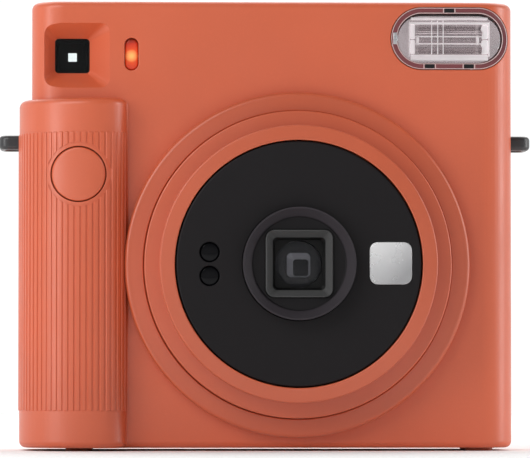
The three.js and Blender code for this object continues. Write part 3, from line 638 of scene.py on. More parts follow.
def front_cover():
    shell = join(form(), ribs())
    shell = cut(shell, halfspace(FRONT_COVER.y1, FAR))
    surround = block("surround", FUNNEL[0] - 10, FUNNEL[0] + 10.2, -FAR, FRONT + FUNNEL_DEPTH + 1.2,
                     FUNNEL[1] - 10, FUNNEL[1] + 10)
    shell = cut(shell, cut(form(WALL), surround))
    shell = join(shell, *feet(-4.5))
    return cut(
        shell,
        prism("lens_hole", circle(*LENS, 41.2, FINE), FRONT - 9, FRONT + 7),
        funnel(),
        prism("finder_hole", rounded(*FINDER_AT, FINDER_HOLE, FINDER_HOLE, 1.0), FRONT + 4, FRONT + 10),
        hole("lamp_hole", pill(LAMP.x, LAMP.z, *LAMP_SIZE), FRONT, 6, lip=0.25),
        hole("flash_hole", pill(*FLASH_AT, FLASH_SIZE[0] + 0.25, FLASH_SIZE[1] + 0.25), 0, 9, on_front, 0.3),
        hole("button_hole", circle(*BUTTON_AT, BUTTON_RADIUS + 0.25, 96), 0, 9, on_grip, 0.2),
        lug_window(-1),
        lug_window(1),
    )


def shutter_button():
    """A cap that follows the grip's surface, with a rounded rim, on its flange and stem."""
    rows = [(BUTTON_RADIUS - inset, rise) for rise, inset in reversed(edge_rows(0, 1, 0.55, steps=6)[:-1])]
    rows += [(radius, 0.05 * (1 - radius / BUTTON_RADIUS)) for radius in (6.0, 5.0, 4.0, 3.0, 2.0, 1.0, 0.05)]
    rings = [[(x, -14.2, z) for x, z in circle(*BUTTON_AT, BUTTON_RADIUS, 96)]]
    for radius, rise in rows:
        rings.append([(x, grip_y(x) + rise, z) for x, z in circle(*BUTTON_AT, radius, 96)])
    flange = common(rod("flange", BUTTON_RADIUS + 1.2, -14.4, -13.2, BUTTON_AT), form(WALL + 0.2))
    return gather(loft("shutter_button", rings), flange, rod("stem", 1.8, -13.3, -11, BUTTON_AT))


# ---- lens
BEZEL = Span("lens_bezel")
BEZEL_BORE, BEZEL_RADIUS = 40.46, 45.4
RING = Span("lens_ring")
BARREL = Span("lens_barrel")
HOOD = Span("lens_hood")


def lens_bezel():
    base, face = FRONT - 0.05, FRONT - 4.25
    corners = [(BEZEL_BORE, base, 0), (BEZEL_RADIUS, base, 0), (BEZEL_RADIUS, face, 1.1)]
    corners += [(BEZEL_RADIUS - 1.6, face - 0.1, 3), (BEZEL_BORE, BEZEL.y0, 0.35)]
    ring = lathe("lens_bezel", filleted(corners, 8), LENS, steps=FINE)
    return cut(ring, form(-0.1))


def lens_ring():
    tiers = (40.32, 36.3, 32.35)
    flange, front = (RING.y1, RING.y1 - 1.5), RING.y0
    corners = [(tiers[2], flange[0], 0), (RING.width / 2, flange[0], 0), (RING.width / 2, flange[1], 0)]
    corners += [(tiers[0], flange[1], 0), (tiers[0], front + 5.55, 0.45), (tiers[1], front + 5.1, 0.12)]
    corners += [(tiers[1], front + 0.45, 0.45), (tiers[2], front, 0.3)]
    return lathe("lens_ring", filleted(corners, 6), LENS, steps=FINE)


def lens_faceplate():
    bore, radius = 14.87, PLATE.width / 2
    corners = [(bore, PLATE.y1, 0), (radius, PLATE.y1, 0), (radius, PLATE.y0 + 0.1, 0.55)]
    corners.append((bore, PLATE.y0, 0.12))
    plate = lathe("lens_faceplate", filleted(corners, 6), LENS, steps=FINE)
    cutters = [hole("pocket", face(Span("selfie_mirror"), 2.4, 0.3), PLATE.y0 + 0.05, 1.1, lip=0.12)]
    for name in ("exposure_sensor_window", "flash_sensor_window"):
        sensor = Span(name)
        cutters.append(hole("sensor", circle(sensor.x, sensor.z, 2.65, 48), PLATE.y0 + 0.05, 3, lip=0.2))
    return cut(plate, *cutters)


def sensor_window(name):
    """A dark domed window sunk in the faceplate."""
    at = Span(name)
    radius, front = at.width / 2, at.y0
    dome = [(radius * math.sin(t), front + 0.35 * (1 - math.cos(t))) for t in (0, 0.3, 0.6, 0.9, 1.2, 1.5)]
    return lathe(name, dome + [(radius, at.y1), (0, at.y1)], (at.x, at.z), steps=48)


def lens_barrel():
    """The sliding barrel: a sloping collar round a dark floor, and a bore behind it for the lenses."""
    front, back = BARREL.y0, BARREL.y1
    floor = front + 2.55
    corners = [(6.4, floor, 0), (12.05, floor, 0.25), (14.35, front, 0.12), (14.75, front, 0.12)]
    corners += [(14.75, back, 0), (6.2, back, 0), (6.2, -17, 0), (12.9, -17, 0), (12.9, floor + 1.8, 0)]
    corners.append((6.4, floor + 1.8, 0))
    barrel = lathe("lens_barrel", filleted(corners, 5), LENS, steps=128)
    return cut(barrel, prism("seat", rounded(*LENS, 17.9, 17.9, 2.5), floor - 1, floor + 3))


def lens_hood():
    """The square baffle round the front lens: sloping walls, then fine steps to a plate with a round hole."""
    front, back = HOOD.y0, HOOD.y1
    outer = prism("lens_hood", rounded(*LENS, HOOD.width, HOOD.height, 2.4), front, back, edges=(0.35, 0))
    rows = [(front - 0.4, 17.2), (front + 0.12, 16.8), (front + 2.3, 13.9)]
    for k in range(7):
        depth, size = front + 2.45 + 0.38 * k, 13.7 - 0.17 * k
        rows += [(depth, size), (depth + 0.2, size + 0.14)]
    mouth = squares("mouth", LENS, [*rows, (front + 5.2, 12.5)], 1.1, 5)
    return cut(outer, mouth, rod("bore", 6.2, front + 5, back + 1, LENS, edge=0, steps=96))


def lens_element(name, bulge):
    at = Span(name)
    radius = at.width / 2
    heights = [i / 10 for i in range(11)]
    front = [(radius * t, at.y0 + bulge * t * t) for t in heights]
    rear = [(radius * t, at.y1 - bulge * t * t) for t in reversed(heights)]
    return lathe(name, front + rear, LENS, steps=96)


def aperture():
    """The square light baffle behind the front lens, its upper and left walls sloping broadly."""
    front, back, (x, z) = -19.6, -18.2, LENS
    outer = prism("aperture", circle(x, z, 6.1, 64), front, back)
    mouth = [(a, front - 0.1, b) for a, b in rounded(x, z, 6.7, 6.9, 1.3)]
    throat = [(a, back + 0.1, b) for a, b in rounded(x + 0.8, z - 0.85, 3.8, 4.2, 0.7)]
    return cut(outer, loft("opening", [mouth, throat]))


def shutter_blades():
    """Five closed leaves, each lying on the next, in the shutter's opening."""
    back, pitch, thickness = -6.6, 0.12, 0.08
    leaf = [(-0.4, -0.6, 0.3), (4.6, -1.6, 0.4), (5.2, 1.2, 0.6), (2.6, 4.4, 0.6), (0.2, 3.2, 0.8)]
    blades = []
    for k in range(5):
        turn = Matrix.Rotation(math.radians(72 * k), 2)
        outline = [tuple(Vector(LENS) + turn @ Vector(point)) for point in filleted(leaf, 4)]
        blades.append(prism("shutter_blades", outline, back + pitch * k, back + pitch * k + thickness))
    return gather(*blades)


def selfie_mirror():
    at = Span("selfie_mirror")
    return prism("selfie_mirror", face(at, 2.2), at.y0, at.y1, edges=(0.22, 0))


# ---- flash, lamp and viewfinder
def flash_outline(inset):
    return pill(*FLASH_AT, FLASH_SIZE[0] - 2 * inset, FLASH_SIZE[1] - 2 * inset, 32)


def flash_solid(name, inset, rows):
    """A solid through rows of (height, further inset) on the body's front surface, in the flash's outline."""
    outline = flash_outline(inset)
    return loft(name, [[on_front(a, b, h) for a, b in grown(outline, -step)] for h, step in rows])


def flash_ring():
    """The dark ring round the flash, following the body's corner."""
    outer = flash_solid("flash_bezel", 0, edge_rows(-0.15, 6.2, 0.3, 0, 4))
    return cut(outer, hole("opening", flash_outline(FLASH_RIM), -0.15, 9, on_front, 0.25))


TAB_SPOTS = ((-0.2, 7.35), (-5.4, -7.35), (5.0, -7.35))


def tab(x, z, half_width, half_height, rise, edge=0.12):
    """A small block in the flash's ring, standing rise above the body's surface."""
    a, b = FLASH_AT[0] + x, FLASH_AT[1] + z
    front = front_y(a)
    sides = (a - half_width, a + half_width, front - rise, front + 1, b - half_height, b + half_height)
    return block("tab", *sides, edge)


def flash_tabs():
    """The three dark catches in the flash's ring."""
    return gather(*[tab(x, z, 1.3, 0.62, 0.16) for x, z in TAB_SPOTS])


def flash_contact():
    """The metal contact at the ring's left end."""
    return tab(-14.5, 0, 0.55, 1.6, 0.22, 0.2)


def flash_highlight_beads():
    """Pale beads along the flash ring's rims and uprights beside its catches: painted highlights, for light
    caught on those edges.
    """
    rows = ((0.3, 0), (-0.12, 0), (-0.18, 0.06), (-0.18, 0.16), (-0.12, 0.22), (0.3, 0.22))
    outline = flash_outline(0)
    beads = []
    for inset in (0.02, FLASH_RIM - 0.24):
        rings = [[on_front(a, b, h) for a, b in grown(outline, -inset - step)] for h, step in rows]
        beads.append(loft("flash_highlight_beads", rings, closed=True))
    beads += [tab(x + side * 1.52, z, 0.13, 0.68, 0.18, 0.04) for x, z in TAB_SPOTS for side in (-1, 1)]
    return gather(*beads)


def flash_window():
    return flash_solid("flash_window", FLASH_RIM + 0.1, edge_rows(0.3, 1.7, 0.2, 0, 3))


REFLECTOR = Span("flash_reflector")
TUBE = Span("flash_tube")


def flash_reflector():
    """A pressed plate with grey cheeks, and a trough with a banded back behind the tube."""
    x, z = FLASH_AT
    front, steps = REFLECTOR.y0, 36
    plate = prism("flash_reflector", pill(x, z, 27.4, 12.6, 24), front + 0.4, REFLECTOR.y1, edges=(0.1, 0))
    curve = []
    for i in range(steps + 1):
        t = -1 + 2 * i / steps
        ripple = 0.22 * (i % 2)
        curve.append((front + 5.0 * (1 - t * t) + ripple, z + t * 3.95))
    mouth = [(front - 1, z + 4.1), (front - 1, z - 4.1)]
    trough = prism("trough", curve + mouth, x - 8.9, x + 8.7, from_side)
    slot = block("slot", x, x + 6.6, front - 1, front + 1.6, z + 4.75, z + 5.15)
    return cut(plate, trough, slot)


def flash_frame():
    """The bright frame round the trough: bars, a sill, end blocks, two bent clips and three upright wires."""
    x, z = FLASH_AT
    y = REFLECTOR.y0 - 0.9
    # each bar's left, right, bottom and top from the flash's middle
    bars = [(-10.2, 10.2, 5.2, 5.75), (-10.7, 10.4, 3.95, 4.5)]
    bars += [(-10.75, -10.45, -4.6, 4.6), (10.45, 10.75, -4.6, 4.6)]
    parts = []
    for x0, x1, z0, z1 in bars:
        parts.append(block("flash_frame", x + x0, x + x1, y, y + 1.5, z + z0, z + z1, 0.14))
    sill = ((-0.7, -5.75), (1.5, -5.75), (1.5, -4.1), (0.7, -4.1))
    sill = filleted([(y + a, z + b, 0.1) for a, b in sill], 3)
    parts.append(prism("sill", sill, x - 10.2, x + 10.2, from_side))
    for low, high in ((-3.9, -0.15), (0.15, 3.9)):
        clip = [(8.6, low, 0.2), (10.3, low, 0.3), (10.3, high, 0.3), (8.8, high, 0.5)]
        clip += [(8.4, high - 1.2, 0.4), (8.9, high - 2.1, 0.4)]
        outline = [(x + a, z + b) for a, b in filleted(clip, 3)]
        parts.append(prism("clip", outline, y + 0.5, y + 1.6, edges=(0.3, 0)))
        parts.append(block("end", x - 10.3, x - 9.1, y + 0.7, y + 1.7, z + low, z + high, 0.2))
    for offset in (-4.7, -3.1, -1.65):
        parts.append(rod("wire", 0.13, z - 4.0, z + 4.9, (x + offset, y - 0.05), "z", 0.05, 12))
    return gather(*parts)


def flash_tube():
    x0, x1 = TUBE.x0, TUBE.x1
    corners = [(0, x0 + 1.6, 0), (0.95, x0 + 1.6, 0.3), (0.95, x1 - 1.6, 0.3), (0, x1 - 1.6, 0)]
    return lathe("flash_tube", filleted(corners, 5), (TUBE.y, TUBE.z), "x", 48)


def flash_ends():
    """The electrodes' caps, two loops round the tube, and two bright rods along its top and bottom: painted
    highlights, for the reflections along the tube's glass.
    """
    x0, x1, y, z = TUBE.x0, TUBE.x1, TUBE.y, TUBE.z
    parts = [rod("flash_electrodes", 1.05, low, low + 2.2, (y, z), "x") for low in (x0 + 0.2, x1 - 2.4)]
    # painted highlights: bright rods for the reflections along the tube's top and bottom
    for side in (-1, 1):
        parts.append(rod("wire", 0.17, x0 + 1, x1 - 1, (y - 0.45, z + side * 0.95), "x", 0.05, 16))
    for x in (x0 + 4.2, x1 - 4.6):
        corners = [(r, x + side * 0.35, 0.1) for r, side in ((0.98, -1), (1.3, -1), (1.3, 1), (0.98, 1))]
        parts.append(lathe("loop", filleted(corners, 3), (y, z), "x", 32))
    return gather(*parts)


def lamp_window():
    outline = pill(LAMP.x, LAMP.z, LAMP_SIZE[0] - 0.2, LAMP_SIZE[1] - 0.2)
    return prism("lamp_window", outline, LAMP.y0, LAMP.y1, edges=(0.7, 0), steps=7)


def viewfinder_window():
    return prism("viewfinder_window", rounded(*FINDER_AT, 11, 11, 1), FINDER.y0, FINDER.y1, edges=(0.1, 0))


def viewfinder_tube():
    """The viewfinder's tube, with a masked plate near its front and fine steps against stray light."""
    at = Span("viewfinder_tube")
    middle = (at.x, at.z)
    shell = prism("viewfinder_tube", face(at, 0.8), at.y0, at.y1)
    front_rows, rear_rows = [(at.y0 - 1, 9.4)], [(-1.4, 8.0)]
    for k in range(4):
        depth, size = at.y0 + 0.6 * k, 9.4 - 0.5 * k
        front_rows += [(depth, size), (depth + 0.1, size - 0.5)]
    for k in range(10):
        depth = 0.2 + 2.4 * k
        rear_rows += [(depth, 8.0), (depth + 0.1, 9.2), (depth + 1.4, 9.2), (depth + 1.5, 8.0)]
    front = squares("front", middle, [*front_rows, (-2.0, 7.2)], 0.6, 4)
    rear = squares("rear", middle, [*rear_rows, (at.y1 + 1, 9.2)], 0.6, 4)
    return cut(shell, front, rear, prism("mask", rounded(*middle, 2.3, 2.3, 0.1), -5, 5))


def eyepiece_frame():
    at = Span("eyepiece_frame")
    outer = prism("eyepiece_frame", face(at, 2), at.y0, at.y1, edges=(0, 0.5))
    return cut(outer, hole("opening", rounded(at.x, at.z, 10, 9, 1.2), at.y1, -4, lip=0.9))


# ---- rear cover, doors and latch
HINGE = Span("door_hinge_pin")
DOOR_FACE = (-38.0, 57.6, 3.6, 100.4)  # the door's left, right, bottom and top
HINGE_AT, KNUCKLE = (HINGE.x, HINGE.y), 2.1
HINGE_ENDS = (HINGE.z0 - 0.3, HINGE.z1 + 0.3)
LATCH = Span("door_latch")
CELL_DOOR, CELL_PIN = Span("battery_door"), Span("battery_door_pin")
CELL_HINGE = (CELL_PIN.x, CELL_PIN.y)
SLOT = Span("film_slot_frame")
DIAL, DIAL_WINDOW = Span("counter_dial"), Span("counter_window")
SCREWS = (Span("case_screw_1"), Span("case_screw_2"))


def door_panel(grow, y0, y1, edge=0.0):
    """The film door's outline from the back, round at the latch side and square beside the hinge."""
    left, right, bottom, top = DOOR_FACE
    corners = [(right + grow, bottom - grow, 0.01), (right + grow, top + grow, 0.01)]
    corners += [(left - grow, top + grow, 5 + grow), (left - grow, bottom - grow, 5 + grow)]
    return prism("panel", filleted(corners, 8), y0, y1, edges=(0, edge))


def knuckle(radius, z0, z1, edge=0.0):
    return rod("knuckle", radius, z0, z1, HINGE_AT, "z", edge, 40)


def rear_cover():
    low, high = HINGE_ENDS
    cells, cell_y = CELL_DOOR, CELL_HINGE[1]
    slot = rounded(SLOT.x, SLOT.y, SLOT.width + 0.2, SLOT.depth + 0.2, 1.6)
    hinge_block = block("hinge_block", 56.5, 64, 22.6, 29, low - 4, high + 4)
    pivot = block("pivot", -64.9, -62.9, cell_y - 1.1, cell_y + 1.4, cells.z0 - 3, cells.z1 + 3)
    shell = cut(form(), halfspace(-FAR, REAR_COVER.y0))
    shell = cut(shell, form(WALL))
    shell = join(shell, common(hinge_block, form()), pivot, *feet(22.5))
    shell = join(shell, *[rod("boss", 2.9, 2, 9, (s.x, s.y), "z", 0, 32) for s in SCREWS])
    shell = cut(
        shell,
        door_panel(0.3, BACK - 2.6, BACK + 1),
        block("notch", DOOR_FACE[1] - 2, SIDE + 1, HINGE.y - 2.5, BACK + 1, low - 0.2, high + 0.2),
        hole("slot", slot, TOP, -4, from_above, 0.25),
        hole("eyepiece", face(Span("eyepiece_frame"), 2.1, 0.2), BACK, -4, lip=0.25),
        hole("recess", rounded(LATCH.x - 0.2, LATCH.z - 2.2, 7.4, 18.8, 1.2), BACK, -1.2, lip=0.25),
        block("latch_slot", LATCH.x - 2.2, LATCH.x + 2.2, BACK - 3, BACK, LATCH.z - 9.2, LATCH.z + 4.8),
        hole("dial", rounded(DIAL_WINDOW.x, DIAL_WINDOW.z, 5, 4, 0.6), BACK, -4, lip=0.25),
        block("cell_opening", -66, -62, cells.y0 - 0.3, cell_y + 1.8, cells.z0 - 0.3, cells.z1 + 0.3),
        rod("cell_bore", 0.85, cells.z0 - 4, cells.z1 + 4, CELL_HINGE, "z", 0, 24),
        lug_window(-1),
        lug_window(1),
    )
    for s in SCREWS:
        shell = cut(shell, rod("bore", 1.25, 0, 10, (s.x, s.y), "z", 0, 24))
        shell = cut(shell, rod("head", 2.4, -1, 1.9, (s.x, s.y), "z", 0, 40))
    for z0, z1 in ((low, low + 18), (high - 18, high)):
        web = block("web", 58, HINGE.x, HINGE.y - 2.6, HINGE.y - 0.8, z0, z1)
        shell = join(shell, join(knuckle(KNUCKLE, z0, z1, 0.2), web))
    return cut(shell, knuckle(1.02, low - 0.5, high + 0.5))


def film_door():
    """The door with its rolled hinge barrel, its window for the pack and a ribbed inner frame."""
    panel = cut(door_panel(0, BACK - WALL, BACK, 0.45), knuckle(4.65, 0, TOP))
    left, right, bottom, top = -31.3, 47.3, 5.2, 96.8
    outer = block("rim", left, right, BACK - 3.8, BACK - 1, bottom, top)
    inner = block("rim_hole", left + 1.4, right - 1.4, BACK - 5, BACK - WALL, bottom + 1.4, top - 1.4)
    z0, z1 = HINGE_ENDS[0] + 18.4, HINGE_ENDS[1] - 18.4
    arm = block("arm", DOOR_FACE[1] - 3, HINGE.x - 0.6, HINGE.y + 1, HINGE.y + KNUCKLE - 0.25, z0, z1)
    window = Span("pack_window")
    door = join(panel, cut(outer, inner), knuckle(KNUCKLE, z0, z1, 0.2), arm)
    sill = hole("window", pill(window.x, window.z, 9, 24), BACK, -4, lip=0.5)
    return cut(door, knuckle(1.02, 0, 110), sill)


def door_latch():
    """The latch's knob, with grooves for a fingertip, on the stem and bar that ride in the rear cover."""
    x, z = LATCH.x, LATCH.z - 0.5
    knob = prism("door_latch", rounded(x - 0.1, z + 0.3, 6.4, 13.4, 1), BACK - 1.05, BACK, edges=(0, 0.3))
    grooves = [rod("groove", 0.42, x - 4, x + 4, (BACK + 0.1, z + 1.8 * k), "x", 0, 24) for k in range(-2, 3)]
    stem = block("stem", x - 2, x + 2, BACK - 3.6, BACK - 0.9, z - 4, z + 4, 0.2)
    bar = block("bar", LATCH.x0, LATCH.x1, LATCH.y0, BACK - WALL - 0.2, LATCH.z0, LATCH.z1, 0.3)
    return join(cut(knob, *grooves), stem, bar)


def battery_door():
    """The door over the cells, with grip lines near its free edge."""
    d, y = CELL_DOOR, CELL_HINGE[1]
    outline = filleted([(d.y0, d.z0, 1), (y, d.z0, 0.01), (y, d.z1, 0.01), (d.y0, d.z1, 1)], 5)
    plate = prism("battery_door", outline, d.x0, d.x0 + 1.7, from_side, (0.3, 0))
    barrel = rod("barrel", 1.35, d.z0, d.z1, CELL_HINGE, "z", 0.15, 32)
    lines = []
    for k in range(5):
        lines.append(rod("line", 0.3, d.z - 7, d.z + 7, (d.x0 - 0.12, d.y0 + 2 + 1.1 * k), "z", 0.1, 20))
    return cut(join(plate, barrel), *lines, rod("bore", 0.85, 0, 100, CELL_HINGE, "z", 0, 24))


# ---- lugs, slot and inner pieces
def strap_lug(name, side):
    """A solid loop for the strap, rounded all over, on its foot inside the cover."""
    at = Span(name)
    y, z0, z1 = at.y, at.z0 + 1.2, at.z1 - 1.2
    outer, inner = SIDE + 5.5, SIDE - WALL - 0.3
    width = outer - inner + 1.6
    outline = rounded(side * (outer - width / 2), y, width, 12, 2.8, 10)
    loop = prism(name, outline, z0, z1, from_above, (1.1, 1.1))
    eye = rounded(side * (SIDE + 1.75), y, 3.3, 7.6, 1.4, 8)
    rows = [(-1, 0.9), (0, 0.9), (0.3, 0.4), (0.9, 0)]
    rows = [(z0 + rise, out) for rise, out in rows] + [(z1 - rise, out) for rise, out in reversed(rows)]
    eye_hole = loft("eye", [[(a, b, z) for a, b in grown(eye, out)] for z, out in rows])
    x = side * (inner - 0.8)
    foot = block("foot", x - 0.8, x + 0.8, y - 7.5, y + 7.5, at.z0, at.z1, 0.3)
    return join(cut(loop, eye_hole), foot)


def film_slot_frame():
    outline = rounded(SLOT.x, SLOT.y, SLOT.width, SLOT.depth, 1.5)
    outer = prism("film_slot_frame", outline, SLOT.z0, SLOT.z1, from_above, (0, 0.35))
    return cut(outer, hole("slot", rounded(SLOT.x, SLOT.y, 76, 5, 0.8), SLOT.z1, -5, from_above, 0.6))


def case_screw(name):
    """A cross-head screw: a domed head with a pointed cross in it, and a threaded shank."""
    at = Span(name)
    z0 = at.z0
    corners = [(0, z0, 0), (2.2, z0, 0.5), (2.2, z0 + 0.9, 0.1), (1.1, z0 + 0.9, 0)]
    thread = [(1.1 - 0.22 * (k % 2), z0 + 1.2 + 0.35 * k) for k in range(16)]
    shank = filleted(corners, 5) + thread + [(0, at.z1)]
    cross = []
    for w, h in ((1.4, 0.26), (0.26, 1.4)):
        slot = ((-w, -h), (w, -h), (w, h), (-w, h))
        rings = [[(at.x + a * k, at.y + b * k, z0 + z) for a, b in slot] for z, k in ((-0.5, 1), (0.75, 0.5))]
        cross.append(loft("cross", rings))
    return cut(lathe(name, shank, (at.x, at.y), "z", 40), *cross)


def pin(name):
    at = Span(name)
    return rod(name, at.width / 2, at.z0, at.z1, (at.x, at.y), "z", 0.2, 32)


def cell(name):
    """A round cell: a rolled rim at each end, an insulating collar and the raised button."""
    at = Span(name)
    r, z0, z1 = at.width / 2, at.z0, at.z1
    corners = [(0, z0 + 0.3, 0), (4.6, z0 + 0.3, 0.2), (5.2, z0, 0.2), (r, z0, 0.8), (r, z1 - 1.2, 0.8)]
    corners += [(5.0, z1 - 1.2, 0.2), (4.6, z1 - 1.5, 0.2), (2.9, z1 - 1.5, 0.2), (2.8, z1, 0.5), (0, z1, 0)]
    return lathe(name, filleted(corners, 5), (at.x, at.y), "z", 64)


def contact_coil():
    """The cells' lower contact: a wire coil that narrows upwards."""
    at, wire = Span("battery_contact_bottom"), 0.28
    low, high = at.z0 + wire, at.z1 - wire

    def place(t, angle):
        out = Vector((math.cos(angle), math.sin(angle), 0))
        middle = Vector((at.x, at.y, low + (high - low) * t))
        return middle + out * (at.width / 2 - wire) * (1 - 0.5 * t), out

    return coil("battery_contact_bottom", wire, 2.6, 96, Vector((0, 0, 1)), place)


def contact_plate():
    at = Span("battery_contact_top")
    plate = rod("battery_contact_top", at.width / 2, at.z0 + 0.9, at.z1, (at.x, at.y), "z", 0.15, 48)
    dimple = [(0, at.z0), (1.6, at.z0 + 0.2), (2.4, at.z0 + 0.95), (0, at.z0 + 0.95)]
    return join(plate, lathe("dimple", dimple, (at.x, at.y), "z", 40))


def shutter_spring():
    """The coil behind the button, with a level turn at each end."""
    at, wire = Span("shutter_spring"), 0.3
    low, high = at.y0 + wire, at.y1 - wire

    def place(t, angle):
        out = Vector((math.cos(angle), 0, math.sin(angle)))
        middle = Vector((at.x, low + (high - low) * min(max((t - 0.12) / 0.76, 0), 1), at.z))
        return middle + out * (at.width / 2 - wire), out

    return coil("shutter_spring", wire, 3.0, 144, Vector((0, 1, 0)), place)


def pack_spring(name):
    """A bowed leaf that presses the film pack forward, with a riveted foot at each end."""
    at = Span(name)
    reach, steps = at.width / 2, 40
    bow = []
    for i in range(steps + 1):
        t = -1 + 2 * i / steps
        bend = max(0, math.cos(math.pi * t / 1.85)) ** 0.8
        bow.append((at.x + reach * t, at.y1 - 0.5 - (at.depth - 0.5) * bend))
    leaf = prism(name, [(a, b + 0.25) for a, b in bow] + bow[::-1], at.z0, at.z1, from_above)
    rivets = []
    for x in (at.x - reach + 2, at.x + reach - 2):
        rivets.append(rod("rivet", 1.3, at.y1 - 0.95, at.y1 - 0.1, (x, at.z), edge=0.25))
    return join(cut(leaf, prism("slot", pill(at.x, at.z, 18, 2.4), BACK - 9, BACK)), *rivets)


def drum(name, axis, at, low, high, radius, grooves=()):
    """A round housing with rolled rims, and a groove round it at each of some places along it."""
    corners = [(0, low, 0), (radius, low, 0.5)]
    for place in grooves:
        corners += [(radius, place - 0.7, 0.2), (radius - 0.45, place - 0.3, 0.2)]
        corners += [(radius - 0.45, place + 0.3, 0.2), (radius, place + 0.7, 0.2)]
    corners += [(radius, high, 0.5), (0, high, 0)]
    return lathe(name, filleted(corners, 4), at, axis, 64)


def eject_motor():
    at = Span("eject_motor")
    radius = at.depth / 2
    can = drum("eject_motor", "x", (at.y, at.z), at.x0 + 0.8, at.x1 - 0.7, radius, (at.x0 + 3.2,))
    nose = rod("nose", 2.2, at.x1 - 1, at.x1, (at.y, at.z), "x", 0.2)
    tail = rod("tail", 1.6, at.x0, at.x0 + 1, (at.y, at.z), "x", 0.2)
    spots = arc(at.y, at.z, radius - 0.2, 45, 315, 3)
    vents = [rod("vent", 0.8, at.x1 - 6, at.x1 - 3, spot, "x", 0.2, 24) for spot in spots]
    return cut(join(can, nose, tail), *vents)


def flash_capacitor():
    at = Span("flash_capacitor")
    can = drum("flash_capacitor", "z", (at.x, at.y), at.z0, at.z1, at.width / 2, (at.z0 + 2.4,))
    for w, h in ((3, 0.15), (0.15, 3)):
        can = cut(can, block("score", at.x - w, at.x + w, at.y - h, at.y + h, at.z1 - 0.3, at.z1 + 1))
    return can


def shutter_switch():
    at = Span("shutter_switch")
    case = block("shutter_switch", at.x0, at.x1, at.y0 + 0.9, at.y1 - 0.6, at.z0, at.z1, 0.5)
    plunger = rod("plunger", 2.2, at.y0, at.y0 + 1.2, (at.x, at.z), edge=0.4)
    legs = []
    for x in (at.x - 4.2, at.x + 4.2):
        legs.append(block("leg", x - 0.4, x + 0.4, at.y1 - 0.8, at.y1, at.z - 3.5, at.z + 3.5, 0.1))
    return join(case, plunger, *legs)


def board_parts():
    """The chips, cans and terminals on the inner side of the circuit board."""
    x = Span("circuit_board").x0
    # each one's place (y, z), its width, its height, and how far it stands off the board
    spots = ((2, 30, 7, 7, 1.0), (12, 34, 4, 6, 0.8), (4, 44, 5, 3, 0.7))
    spots += ((13, 52, 5, 8, 1.1), (2, 60, 4, 4, 0.9), (10, 68, 8, 5, 1.0))
    spots += ((1, 74, 3, 6, 0.6), (13, 80, 3, 3, 0.8), (5, 20, 8, 3, 0.6))
    parts = []
    for y, z, width, height, rise in spots:
        sides = (y - width / 2, y + width / 2, z - height / 2, z + height / 2)
        parts.append(block("board_parts", x - rise, x + 0.1, *sides, 0.15))
    for y, z in ((2 + 1.3 * k, row) for row in (26, 34) for k in range(6)):
        parts.append(block("pad", x - 0.2, x + 0.1, y - 3.5, y - 2.9, z - 0.5, z + 0.5))
    return gather(*parts)


def circuit_board():
    """The board, with a notch in its edge and its mounting holes."""
    b = Span("circuit_board")
    corners = [(b.y0, b.z0, 1.5), (b.y1, b.z0, 1.5), (b.y1, b.z1, 1.5), (b.y0 + 4, b.z1, 1)]
    corners += [(b.y0 + 4, b.z1 - 7, 1), (b.y0, b.z1 - 7, 1)]
    board = prism("circuit_board", filleted(corners, 4), b.x0, b.x1, from_side, (0.1, 0.1), 2)
    for spot in ((b.y0 + 2.2, b.z0 + 3), (b.y1 - 2.2, b.z1 - 3)):
        board = cut(board, rod("hole", 1.1, b.x0 - 1, b.x1 + 1, spot, "x", 0, 24))
    return board


def battery_holder():
    """The cells' tray: rounded outside, with an open channel, end walls and a ribbon slot."""
    at, lower = Span("battery_holder"), Span("battery_lower")
    body = block("battery_holder", at.x0, at.x1, at.y0, at.y1, at.z0, at.z1, 0.6)
    low, high = at.z0 + 1.0, at.z1 - 1.0
    bore = rod("bore", lower.width / 2 + 0.3, low, high, (lower.x, lower.y), "z", 0, 96)
    mouth = block("mouth", -70, lower.x, lower.y - 8.1, lower.y + 8.1, low, high)
    gaps = []
    for z in (28, 40, 52, 64):
        gaps.append(block("gap", -70, at.x1 - 3, at.y0 - 1, at.y0 + 0.5, z - 1.2, z + 1.2))
    return cut(body, bore, mouth, *gaps)


def counter_dial():
    """The film counter's wheel and its hub."""
    corners = [(0, 25.6, 0), (7, 25.6, 0.15), (7, 26.6, 0.2), (1.5, 26.6, 0), (1.5, 28.4, 0.2), (0, 28.4, 0)]
    wheel = lathe("counter_dial", filleted(corners, 3), (DIAL.x, DIAL.z), steps=96)
    return join(wheel, rod("hub", 1.5, DIAL.y0, 25.7, (DIAL.x, DIAL.z)))


def dial_marks():
    """The wheel's ticks, every other one of them longer."""
    marks, half_width, tip = [], 0.16, 6.4
    for k in range(24):
        inner = 3.6 if k % 2 == 0 else 4.8
        out = Vector((math.cos(math.radians(15 * k)), math.sin(math.radians(15 * k))))
        across = Vector((-out.y, out.x)) * half_width
        corners = (out * inner + across, out * tip + across, out * tip - across, out * inner - across)
        marks.append(prism("dial_marks", [(DIAL.x + p.x, DIAL.z + p.y) for p in corners], 26.45, 26.68))
    return gather(*marks)


